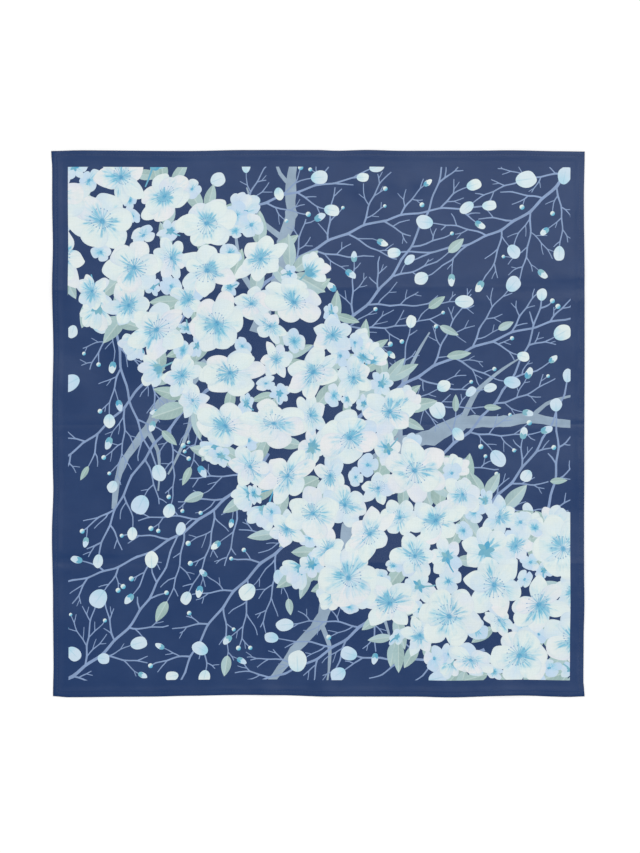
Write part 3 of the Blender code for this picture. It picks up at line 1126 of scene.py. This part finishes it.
def rectangle_points(left, right, bottom, top, step):
    """Points evenly spaced along each side of a rectangle, and the closed ring of their edges."""
    across = np.linspace(left, right, int(np.ceil((right - left) / step)), endpoint=False)
    up = np.linspace(bottom, top, int(np.ceil((top - bottom) / step)), endpoint=False)
    sides = (
        (across, np.full_like(across, bottom)),
        (np.full_like(up, right), up),
        (left + right - across, np.full_like(across, top)),
        (np.full_like(up, left), bottom + top - up),
    )
    points = np.concatenate(sides, axis=1).T
    index = np.arange(len(points))
    return points, np.stack([index, np.roll(index, -1)], axis=1)


def crease_lines(rows):
    """Rows of points along each pressed line and beside it, joined into lines."""
    half = WIDTH / 2 - CREASE_END
    x = np.linspace(-half, half, int(WIDTH / CREASE_POINTS))
    points = []
    edges = []
    for crease in CREASES:
        line, _ = line_and_rise(crease, x)
        for offset in rows:
            index = len(points) * len(x) + np.arange(len(x))
            points.append(np.stack([x, line + offset * crease.reach], axis=1))
            edges.append(np.stack([index[:-1], index[1:]], axis=1))
    return np.concatenate(points), np.concatenate(edges)


def base_grid(step):
    """Points inside the hem, evenly spread, every other row shifted by half a step."""
    x = np.arange(GRID_MARGIN - WIDTH / 2, WIDTH / 2 - GRID_MARGIN, step)
    y = np.arange(GRID_MARGIN - HEIGHT / 2, HEIGHT / 2 - GRID_MARGIN, step * np.sqrt(3) / 2)
    grid_x, grid_y = np.meshgrid(x, y)
    grid_x = grid_x + np.where(np.arange(len(y)) % 2, 0.5, 0.0)[:, None] * step
    points = np.stack([grid_x.ravel(), grid_y.ravel()], axis=1)
    clear = points[:, 0] < WIDTH / 2 - GRID_MARGIN
    for crease in CREASES:
        clear &= np.abs(points[:, 1] - line_and_rise(crease, points[:, 0])[0]) > crease.reach
    return points[clear], np.zeros((0, 2), int)


def cut_sheet(motifs, sizes, side):
    """The flat cloth as triangles, cut along the hem's lines, the printed field's edge and every
    shape's outline."""
    hem = sizes.hem_width / MM
    radius = sizes.hem_thickness / MM / 2
    inset = sizes.stitch_inset / MM
    seam = [inset - STITCH_VALLEY_REACH, inset, inset + STITCH_VALLEY_REACH]
    lines = [share * radius for share in ROLL_LINES] + seam
    lines += [hem, hem + EDGE_STEP / 2, hem + EDGE_STEP]
    lines += [hem + share * HEM_STEP for share in STEP_LINES]
    parts = []
    for d in lines:
        x, y = WIDTH / 2 - d, HEIGHT / 2 - d
        parts.append(rectangle_points(-x, x, -y, y, SEAM_POINTS if d in seam else HEM_POINTS))
    parts.append(rectangle_points(FIELD_LEFT, FIELD_RIGHT, FIELD_BOTTOM, FIELD_TOP, FIELD_POINTS))
    parts += [crease_lines(side.rows), base_grid(side.spacing), motif_edges(motifs)]
    starts = np.cumsum([0] + [len(points) for points, _ in parts])
    points = np.concatenate([points for points, _ in parts])
    edges = np.concatenate([edges + start for (_, edges), start in zip(parts, starts)])
    used = np.arange(len(points)) < starts[-2]
    used[edges.ravel()] = True
    place = np.cumsum(used) - 1
    flat = [Vector(point) for point in points[used].tolist()]
    found = delaunay_2d_cdt(flat, place[edges].tolist(), [], 0, 1e-4, False)
    return np.array([tuple(point) for point in found[0]]), np.array(found[2])


def own_coordinates(points, at, inverse):
    """Each point in the coordinates of its own shape."""
    return np.einsum("nij,nj->ni", inverse, points - at)


def add_attribute(mesh, name, kind, domain, values):
    """Writes one attribute."""
    layer = mesh.attributes.new(name, kind, domain)
    field = "vector" if kind == "FLOAT_VECTOR" else "value"
    layer.data.foreach_set(field, np.asarray(values, np.float32).ravel())


def print_attributes(mesh, motifs, top, corners):
    """Writes which shape each face belongs to, and each corner's place on its petal and blossom."""
    still = np.eye(2)
    blank = Motif("ground", None, np.zeros(2), still, np.zeros(2), still, 0.0, 0.0, 0.0)
    rows = [*motifs, blank]
    at, to_local, bloom_at, to_bloom = (
        np.array([getattr(row, name) for row in rows])
        for name in ("at", "to_local", "bloom_at", "to_bloom")
    )
    seeds = np.array([row.seed for row in rows])
    ink = np.array([(KINDS[row.kind], row.tone, row.style) for row in rows])
    shape = np.repeat(top, 3)
    local = own_coordinates(corners, at[shape], to_local[shape])
    bloom = own_coordinates(corners, bloom_at[shape], to_bloom[shape])
    for name, values in (("petal_place", local), ("bloom_place", bloom)):
        packed = np.column_stack([values, seeds[shape]])
        add_attribute(mesh, name, "FLOAT_VECTOR", "CORNER", packed)
    add_attribute(mesh, "ink", "FLOAT_VECTOR", "FACE", ink[top])


def bake_map(mesh, corners, back):
    """Lays the upper side over the larger part of the map and the underside over the rest."""
    behind = np.repeat(back, 3)
    across = np.abs(behind - corners[:, 0] / WIDTH - 0.5)
    low, high = np.where(behind[:, None] > 0, LOWER_MAP, UPPER_MAP).T
    up = low + (corners[:, 1] / HEIGHT + 0.5) * (high - low)
    layer = mesh.uv_layers.new(name=BAKE_MAP)
    layer.data.foreach_set("uv", np.column_stack([across, up]).astype(np.float32).ravel())


def new_mesh(name, points, faces):
    """A smooth mesh of points in millimetres and triangles."""
    mesh = bpy.data.meshes.new(name)
    mesh.vertices.add(len(points))
    mesh.vertices.foreach_set("co", (points * MM).astype(np.float32).ravel())
    mesh.loops.add(faces.size)
    mesh.loops.foreach_set("vertex_index", faces.astype(np.int32).ravel())
    mesh.polygons.add(len(faces))
    mesh.polygons.foreach_set("loop_start", np.arange(0, faces.size, 3, dtype=np.int32))
    mesh.update(calc_edges=True)
    mesh.shade_smooth()
    return mesh


def cut_side(motifs, sizes, side):
    """One side of the flat cloth: its points, its triangles, and which shape lies on each."""
    skips = [side.skip if motif.kind == "petal" else 1 for motif in motifs]
    motifs = [motif._replace(outline=motif.outline[::skip]) for motif, skip in zip(motifs, skips)]
    flat, triangles = cut_sheet(motifs, sizes, side)
    middles = flat[triangles].mean(axis=1)
    return flat, triangles, np.where(off_field(middles), -1, topmost(middles, motifs))


def bandana_mesh(sizes):
    """The closed sheet: triangles raised to the upper side, and others, with coarser petals, turned
    over on the underside. The two share the points of the outermost line, where the hem closes."""
    motifs = print_motifs()
    over, over_faces, over_top = cut_side(motifs, sizes, UPPER)
    under, under_faces, under_top = cut_side(motifs, sizes, LOWER)
    under_faces = under_faces[:, ::-1]
    over_rim, under_rim = (inward(*flat.T) < 1e-3 for flat in (over, under))
    if not np.allclose(over[over_rim], under[under_rim]):
        raise RuntimeError("the two sides of the cloth don't share their outermost line")

    upper = np.column_stack([*outlined(*over.T), top_height(*over.T, sizes)])
    lower = np.column_stack([*outlined(*under.T), underside_height(*under.T, sizes)])
    upper[over_rim] = lower[under_rim]
    index = len(over) + np.cumsum(~under_rim) - 1
    index[under_rim] = np.flatnonzero(over_rim)
    points = np.concatenate([upper, lower[~under_rim]]) + np.array([*sheet_shift(), 0.0])
    mesh = new_mesh("bandana_cloth", points, np.concatenate([over_faces, index[under_faces]]))

    corners = np.concatenate([over[over_faces.ravel()], under[under_faces.ravel()]])
    print_attributes(mesh, motifs, np.concatenate([over_top, under_top]), corners)
    back = np.repeat([0.0, 1.0], (len(over_faces), len(under_faces)))
    add_attribute(mesh, "back", "FLOAT", "FACE", back)
    edge = np.concatenate([inward(*over.T), inward(*under[~under_rim].T)])
    add_attribute(mesh, "edge_distance", "FLOAT", "POINT", edge)
    bake_map(mesh, corners, back)

    over_normals = slope_normals(top_height, *over.T, sizes)
    under_normals = -slope_normals(underside_height, *under.T, sizes)
    normals = np.concatenate([over_normals[over_faces], under_normals[under_faces]])
    mesh.normals_split_custom_set(normals.reshape(-1, 3).tolist())
    print("cloth:", len(motifs), "shapes,", len(over_faces), "and", len(under_faces), "triangles")
    return mesh


def stitch_places(sizes):
    """The middle and the direction of every stitch: evenly spaced along each side of the hem."""
    inset = sizes.stitch_inset / MM
    rows = []
    for half_run, half_off, upright in (
        (WIDTH / 2 - inset, HEIGHT / 2 - inset, False),
        (HEIGHT / 2 - inset, WIDTH / 2 - inset, True),
    ):
        count = int(2 * half_run / (sizes.stitch_pitch / MM))
        run = ((np.arange(count) + 0.5) / count * 2 - 1) * half_run
        way = np.tile((0.0, 1.0) if upright else (1.0, 0.0), (count, 1))
        for off in (-half_off, half_off):
            place = np.stack([run, np.full(count, off)], axis=1)
            rows.append(np.concatenate([place[:, ::-1] if upright else place, way], axis=1))
    rows = np.concatenate(rows)
    return rows[:, :2], rows[:, 2:]


def stitch_mesh(sizes):
    """The hem's lockstitches on both sides of the cloth: each a rounded tube along a short straight
    path that bows out in its middle and dips into the cloth at its ends, as a fourth power. Its
    radius follows (1 - s^8)^(1/4), so that it stays full and closes at both ends."""
    thread = sizes.thread_width / MM
    middles, ways = stitch_places(sizes)
    along = np.linspace(-1, 1, STITCH_RINGS)
    radius = thread / 2 * np.maximum(1 - along**8, 0.0001) ** 0.25
    bow = thread * (STITCH_BOW - STITCH_DIP * along**4)
    turn = np.arange(STITCH_SIDES) * 2 * np.pi / STITCH_SIDES
    path = middles[:, None] + ways[:, None] * (along * sizes.stitch_length / MM / 2)[None, :, None]
    x, y = path[..., 0], path[..., 1]
    place = np.stack(outlined(x, y), axis=-1) + sheet_shift()
    square_to = np.stack([-ways[:, 1], ways[:, 0]], axis=1)
    off = square_to[:, None, None] * (radius[:, None] * np.cos(turn))[None, ..., None]
    spread = place[:, :, None] + off
    rise = (radius[:, None] * np.sin(turn))[None]
    over = (top_height(x, y, sizes) + bow)[..., None] + rise
    under = (underside_height(x, y, sizes) - UNDER_BOW * bow)[..., None] + rise
    sides = [np.concatenate([spread, z[..., None]], axis=-1) for z in (over, under)]
    points = np.concatenate(sides)

    index = np.arange(STITCH_RINGS * STITCH_SIDES).reshape(STITCH_RINGS, STITCH_SIDES)
    beside = np.roll(index, -1, axis=1)
    corners = (index[:-1], index[1:], beside[1:], index[:-1], beside[1:], beside[:-1])
    wall = np.stack(corners, axis=-1)
    fan = np.arange(1, STITCH_SIDES - 1)
    cap = np.stack([np.zeros_like(fan), fan, fan + 1], axis=1)
    faces = np.concatenate([wall.reshape(-1, 3), cap, index[-1, 0] + cap[:, ::-1]])
    faces = faces[None] + (np.arange(len(points)) * index.size)[:, None, None]
    return new_mesh("hem_stitching", points.reshape(-1, 3), faces.reshape(-1, 3))


class Value:
    """A number, a vector or a colour in a node tree. Whatever is done with it adds a node."""

    def __init__(self, socket):
        self.socket = socket

    def __add__(self, other):
        return self.math("ADD", other)

    def __sub__(self, other):
        return self.math("SUBTRACT", other)

    def __mul__(self, other):
        return self.math("MULTIPLY", other)

    def __truediv__(self, other):
        return self.math("DIVIDE", other)

    def __abs__(self):
        return self.math("ABSOLUTE")

    def math(self, operation, *others):
        """One Math node, with this as its first number."""
        inputs = dict(enumerate((self, *others)))
        return new_node(self.socket.id_data, "Math", inputs, operation=operation)

    def sine(self):
        """The sine of a number in radians."""
        return self.math("SINE")

    def ramp(self, low, high):
        """0 at low, 1 at high and eased between them. With low above high it falls."""
        inputs = {"Value": self, "From Min": low, "From Max": high}
        tree = self.socket.id_data
        return new_node(tree, "MapRange", inputs, interpolation_type="SMOOTHSTEP")

    def parts(self):
        """The three parts of a vector."""
        first = new_node(self.socket.id_data, "SeparateXYZ", {0: self})
        return [Value(part) for part in first.socket.node.outputs]


def put(node, inputs):
    """Links values to a node's inputs, given by name or number, or sets them."""
    for key, value in inputs.items():
        socket = node.inputs[key]
        if isinstance(value, Value):
            node.id_data.links.new(value.socket, socket)
        else:
            socket.default_value = (*value, 1.0) if socket.type == "RGBA" else value


def new_node(tree, kind, inputs=(), output=0, **settings):
    """A shader node of that kind, with its settings and its inputs. Returns one of its outputs."""
    node = tree.nodes.new("ShaderNode" + kind)
    for name, value in settings.items():
        setattr(node, name, value)
    put(node, dict(inputs))
    return Value(node.outputs[output])


def new_material(name):
    """A material with its tree and its shader."""
    material = bpy.data.materials.new(name)
    material.use_nodes = True
    return material, material.node_tree, material.node_tree.nodes["Principled BSDF"]


def mixed(share, first, second):
    """One colour into another, by a share from 0 to 1."""
    inputs = {"Factor": share, 6: first, 7: second}
    return new_node(share.socket.id_data, "Mix", inputs, output=2, data_type="RGBA")


def noise(vector, scale, detail=2.0, roughness=0.5):
    """A noise on that vector."""
    inputs = {"Vector": vector, "Scale": scale, "Detail": detail, "Roughness": roughness}
    return new_node(vector.socket.id_data, "TexNoise", inputs)


def hypotenuse(first, second):
    """The length of the vector with these two parts."""
    return (first * first + second * second).math("SQRT")


def darker(colour, share):
    """A colour times a share."""
    return tuple(share * value for value in colour)


def blended(first, second, share):
    """A colour between two."""
    return tuple(a + share * (b - a) for a, b in zip(first, second))


def petal_colour(colours, place, bloom, tone, patch):
    """Petals: white to blue by tone, some with a faint blush, a wash and a throat that run out from
    the blossom's middle in uneven strokes, one shaded side, faint veins and a soft rim."""
    u, v, seed = place
    x, y, _ = bloom
    sway = patch * 0.5 - 0.25
    blush = (seed * 7.0).math("FRACT").ramp(0.5, 0.9) * (patch * 0.6 + 0.4)
    white = mixed(blush, colours.petal_white, colours.petal_blush)
    colour = mixed((sway * 0.9 + tone).ramp(0.0, 1.1), white, colours.petal_blue)
    radius = hypotenuse(x, y)
    spokes = {0: x / radius * 5.5, 1: y / radius * 5.5, 2: seed * 17.0 + radius * 1.6}
    spokes = new_node(x.socket.id_data, "CombineXYZ", spokes)
    strokes = noise(spokes, 1.0, 3.0, 0.65) * 1.5 - 0.75
    depth = radius + strokes + sway
    colour = mixed(depth.ramp(0.72, 0.08) * (seed * 0.64 + 0.12), colour, colours.wash)
    colour = mixed(depth.ramp(0.34, 0.0) * 0.80, colour, colours.throat)

    shaded = blended(colours.petal_blue, colours.stem, 0.22)
    colour = mixed(v.ramp(0.10, 1.0) * 0.22, colour, shaded)
    across = v / (u * 0.6 + 0.55)
    veins = (across * 21.0).sine().ramp(0.72, 1.0) * u.ramp(0.95, 0.25)
    colour = mixed(veins * 0.14, colour, colours.wash)
    rim = hypotenuse(u * 2.0 - 1.0, across).ramp(0.88, 1.0)
    return mixed(rim * 0.18, colour, darker(colours.petal_blue, 0.84))


def throat_colour(colours, colour, bloom, style, grain):
    """The middle of a blossom over its petals: a grained button, and on the large ones a ring of
    uneven stamens, each a fine thread with a dot on its end."""
    x, y, _ = bloom
    radius = hypotenuse(x, y)
    large = style.math("COMPARE", STYLES["anemone"], 0.4)
    open_face = style.math("LESS_THAN", STYLES["cup"] - 0.5)
    turn = y.math("ARCTAN2", x) * (STAMENS / (2 * np.pi)) + STAMENS / 2
    number = turn.math("FLOOR")
    aside = (number * 7.3).sine() * 0.26 + 0.5
    sideways = (turn - number - aside) * radius * (2 * np.pi / STAMENS)
    beyond = radius - ((number * 12.9).sine() * 0.09 + 0.30)
    dots = hypotenuse(beyond, sideways).ramp(0.025, 0.015)
    threads = abs(sideways).ramp(0.010, 0.003) * beyond.ramp(0.0, -0.02) * 0.65
    stamens = dots.math("MAXIMUM", threads) * large
    colour = mixed(stamens * 0.85, colour, blended(colours.teal, colours.stem, 0.5))
    button = (radius - (large * -0.06 + 0.14)).ramp(0.03, -0.03) * open_face
    grained = mixed(grain.ramp(0.42, 0.6), colours.teal, colours.throat)
    return mixed(button * 0.75, colour, grained)


def leaf_colour(colours, place, tone, patch):
    """Sage leaves: one half darker, a pale midrib, slanting side veins and a mottled wash."""
    u, v, _ = place
    pale = blended(colours.leaf, colours.petal_white, 0.5)
    colour = mixed(tone, colours.leaf, blended(colours.leaf, colours.petal_blue, 0.4))
    colour = mixed(v.ramp(-0.05, 0.05) * 0.40, colour, darker(colours.leaf, 0.68))
    colour = mixed(patch * 0.28, colour, pale)
    veins = ((abs(v) * -0.22 + u) * 44.0).sine().ramp(0.86, 1.0)
    colour = mixed(veins * 0.30, colour, pale)
    return mixed(abs(v).ramp(0.12, 0.03) * 0.7, colour, pale)


def coin_colour(colours, place, tone, patch):
    """Round leaves and buds: pale, with a wash from the stalk and a faint midrib."""
    u, v, seed = place
    bluish = blended(colours.petal_white, colours.petal_blue, 0.9)
    colour = mixed(tone, colours.petal_white, bluish)
    wash = (patch * 0.4 + u).ramp(0.85, 0.1) * (seed * 0.7 + 0.15)
    colour = mixed(wash, colour, colours.wash)
    rib = abs(v).ramp(0.10, 0.02) * u.ramp(0.9, 0.5)
    return mixed(rib * 0.4, colour, darker(colours.wash, 0.85))


def berry_colour(colours, place):
    """Berries: light on one side, deeper round the other."""
    u, v, _ = place
    return mixed((u * -0.6 + v * 0.7).ramp(-0.7, 0.6), colours.throat, colours.petal_white)


def weave_height(place, pitch):
    """Plain weave: rounded ribs of warp and weft, over and under each other by turns."""
    x, y, _ = place.parts()
    across = (x * (np.pi / pitch)).sine()
    up = (y * (np.pi / pitch)).sine()
    warp_over = (across * up).math("GREATER_THAN", 0.0)
    return warp_over * (abs(across) - abs(up)) + abs(up)


def slubs(place, fine_x, fine_y):
    """Thicker stretches of yarn: a noise drawn out one way."""
    inputs = {0: place, 1: (fine_x, fine_y, 1.0)}
    drawn = new_node(place.socket.id_data, "VectorMath", inputs, operation="MULTIPLY")
    return noise(drawn, 1.0, detail=1.0)


def cotton_material(colours, sizes):
    """Printed cotton: the dyed ground, the print read from the mesh's attributes, a fainter print
    on the back, painted shade along the hem's outer edge, and a plain weave with slubs whose
    hollows are painted darker."""
    material, tree, shader = new_material("printed cotton")
    place = new_node(tree, "TexCoord", output=3)
    patch = noise(place, 55.0, 3.0, 0.55).ramp(0.3, 0.7)
    grain = noise(place, 900.0)
    broad = noise(place, 14.0, 4.0, 0.6).ramp(0.35, 0.7)
    (kind, tone, style), petal, bloom = (
        new_node(tree, "Attribute", output=1, attribute_name=name).parts()
        for name in ("ink", "petal_place", "bloom_place")
    )
    back, edge_distance = (
        new_node(tree, "Attribute", output=2, attribute_name=name)
        for name in ("back", "edge_distance")
    )

    ground = mixed(broad, colours.navy, blended(colours.navy, colours.stem, 0.03))
    petals = petal_colour(colours, petal, bloom, tone, patch)
    teal = blended(colours.teal, colours.throat, 0.5)
    layers = {
        "petal": throat_colour(colours, petals, bloom, style, grain),
        "leaf": leaf_colour(colours, petal, tone, patch),
        "bough": mixed(patch, colours.bough, darker(colours.bough, 0.82)),
        "stem": mixed(patch, colours.stem, darker(colours.stem, 0.84)),
        "coin": coin_colour(colours, petal, tone, patch),
        "berry": berry_colour(colours, petal),
        "calyx": mixed(tone, teal, blended(colours.leaf, colours.throat, 0.4)),
    }
    colour = ground
    for name, layer in layers.items():
        colour = mixed(kind.math("COMPARE", KINDS[name], 0.4), colour, layer)
    colour = mixed(back * 0.62, colour, ground)
    # Painted shade: the navy is darkened over the last millimetre and a half of the outer edge,
    # where the rolled hem turns away from the light.
    painted_edge_shade = edge_distance.ramp(1.5, 0.3) * 0.30
    colour = mixed(painted_edge_shade, colour, darker(colours.navy, 0.55))

    weave = weave_height(place, sizes.yarn_pitch)
    weft_slub = slubs(place, SLUB_ALONG, SLUB_ACROSS)
    warp_slub = slubs(place, SLUB_ACROSS, SLUB_ALONG)
    # The yarn's own tone varies with the uneven dye, the slubs and the grain; the weave's term is
    # painted shade, darker in the hollows between the yarns and lighter on their crowns.
    shade = patch * 0.03 + weave * 0.05 + 0.825
    shade = shade + weft_slub * 0.10 + warp_slub * 0.08 + grain * 0.08
    woven = new_node(tree, "VectorMath", {0: colour, "Scale": shade}, operation="SCALE")
    relief = weft_slub * 0.8 + grain * 0.6 + weave
    bump = new_node(tree, "Bump", {"Strength": 0.22, "Distance": 0.0001, "Height": relief})
    put(shader, {"Base Color": woven, "Normal": bump, "Roughness": grain * 0.12 + 0.30})
    put(shader, {"Specular IOR Level": 0.15})
    return material


def thread_material(colours):
    """Sewing thread: navy, with the fine slanting lay of its twist in its bump, and painted shade
    along the twist: darker in its grooves, lighter on its ridges.
    """
    material, tree, shader = new_material("sewing thread")
    x, y, z = new_node(tree, "TexCoord", output=3).parts()
    lay = ((x + y + z * 1.5) * (2 * np.pi / (0.6 * MM))).sine().ramp(-1.0, 1.0)
    # Painted shade along the twist: darker in its grooves, lighter on its ridges.
    twist_with_painted_shade = mixed(lay, darker(colours.thread, 0.8), blended(colours.thread, colours.stem, 0.10))
    bump = new_node(tree, "Bump", {"Strength": 0.4, "Distance": 0.00006, "Height": lay})
    put(shader, {"Base Color": twist_with_painted_shade, "Normal": bump})
    put(shader, {"Roughness": 0.55, "Specular IOR Level": 0.3})
    return material


def linked(name, data):
    """A new object of that mesh, lamp or camera, in the scene."""
    made = bpy.data.objects.new(name, data)
    bpy.context.scene.collection.objects.link(made)
    return made


def cotton_piece(name, mesh, material):
    """A piece that takes the place of the solid."""
    mesh.materials.append(material)
    piece = linked(name, mesh)
    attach(piece, "root")
    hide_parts("bandana")
    return piece


class BANDANA_OT_cloth(bpy.types.Operator):
    """Make the printed cloth with its hem, folds and swells"""

    bl_idname = "bandana.cloth"
    bl_label = "Cloth"

    def execute(self, context):
        scene = context.scene
        material = cotton_material(scene.bandana_colours, scene.bandana_sizes)
        cotton_piece("cloth", bandana_mesh(scene.bandana_sizes), material)
        return {"FINISHED"}


class BANDANA_OT_stitching(bpy.types.Operator):
    """Sew the lockstitches along the hem, on both sides of the cloth"""

    bl_idname = "bandana.stitching"
    bl_label = "Stitching"

    def execute(self, context):
        scene = context.scene
        material = thread_material(scene.bandana_colours)
        stitching = cotton_piece("stitching", stitch_mesh(scene.bandana_sizes), material)
        return {"FINISHED"}


class BANDANA_OT_stage(bpy.types.Operator):
    """Make the pale floor, the soft lamp and the camera straight above"""

    bl_idname = "bandana.stage"
    bl_label = "Stage"

    def execute(self, context):
        scene = context.scene
        looks = scene.stage_looks
        signs = ((-1, -1), (1, -1), (1, 1), (-1, 1))
        corners = [(FLOOR_HALF * a, FLOOR_HALF * b, FLOOR_LEVEL) for a, b in signs]
        floor_mesh = bpy.data.meshes.new("floor")
        floor_mesh.from_pydata(corners, [], [(0, 1, 2, 3)])
        material, _, shader = new_material("pale floor")
        put(shader, {"Base Color": looks.floor, "Roughness": 1.0, "Specular IOR Level": 0.0})
        floor_mesh.materials.append(material)
        linked("floor", floor_mesh)

        scene.world = bpy.data.worlds.new("studio")
        scene.world.use_nodes = True
        background = scene.world.node_tree.nodes["Background"]
        put(background, {"Color": (1.0, 1.0, 1.0), "Strength": looks.sky})

        light = bpy.data.lights.new("lamp", "SUN")
        light.energy = looks.lamp
        light.angle = np.radians(LAMP_SPREAD)
        lamp = linked("lamp", light)
        lamp.location = LAMP_PLACE
        lamp.rotation_euler = lamp.location.to_track_quat("Z", "Y").to_euler()

        shift_x, shift_y = sheet_shift()
        camera = bpy.data.cameras.new("camera above")
        camera.lens = looks.lens
        camera.sensor_fit = "VERTICAL"
        camera.sensor_height = 36.0
        scene.camera = linked("camera above", camera)
        distance = VIEW_HEIGHT * looks.lens / camera.sensor_height
        scene.camera.location = ((VIEW_RIGHT + shift_x) * MM, (VIEW_UP + shift_y) * MM, distance)
        scene.view_settings.view_transform = "Standard"
        return {"FINISHED"}


class BANDANA_PT_sidebar(bpy.types.Panel):
    """The pieces, the stage and their settings"""

    bl_idname = "BANDANA_PT_sidebar"
    bl_label = "Printed Bandana"
    bl_space_type = "VIEW_3D"
    bl_region_type = "UI"
    bl_category = "Bandana"

    def draw(self, context):
        for operator in OPERATORS:
            self.layout.operator(operator.bl_idname)
        for name, group in SETTINGS.items():
            for each in group.__annotations__:
                self.layout.prop(getattr(context.scene, name), each)


OPERATORS = (BANDANA_OT_stage, BANDANA_OT_cloth, BANDANA_OT_stitching)
SETTINGS = {
    "bandana_sizes": BandanaSizes,
    "bandana_colours": BandanaColours,
    "stage_looks": StageLooks,
}
CLASSES = (*SETTINGS.values(), *OPERATORS, BANDANA_PT_sidebar)


def register():
    """Registers the classes and the scene's settings."""
    for each in CLASSES:
        bpy.utils.register_class(each)
    for name, group in SETTINGS.items():
        setattr(bpy.types.Scene, name, bpy.props.PointerProperty(type=group))


def unregister():
    """Removes the classes and the scene's settings."""
    for name in SETTINGS:
        delattr(bpy.types.Scene, name)
    for each in reversed(CLASSES):
        bpy.utils.unregister_class(each)


def main():
    """Registers the add-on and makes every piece."""
    register()
    bpy.ops.bandana.stage()
    bpy.ops.bandana.cloth()
    bpy.ops.bandana.stitching()


if __name__ == "__main__":
    main()
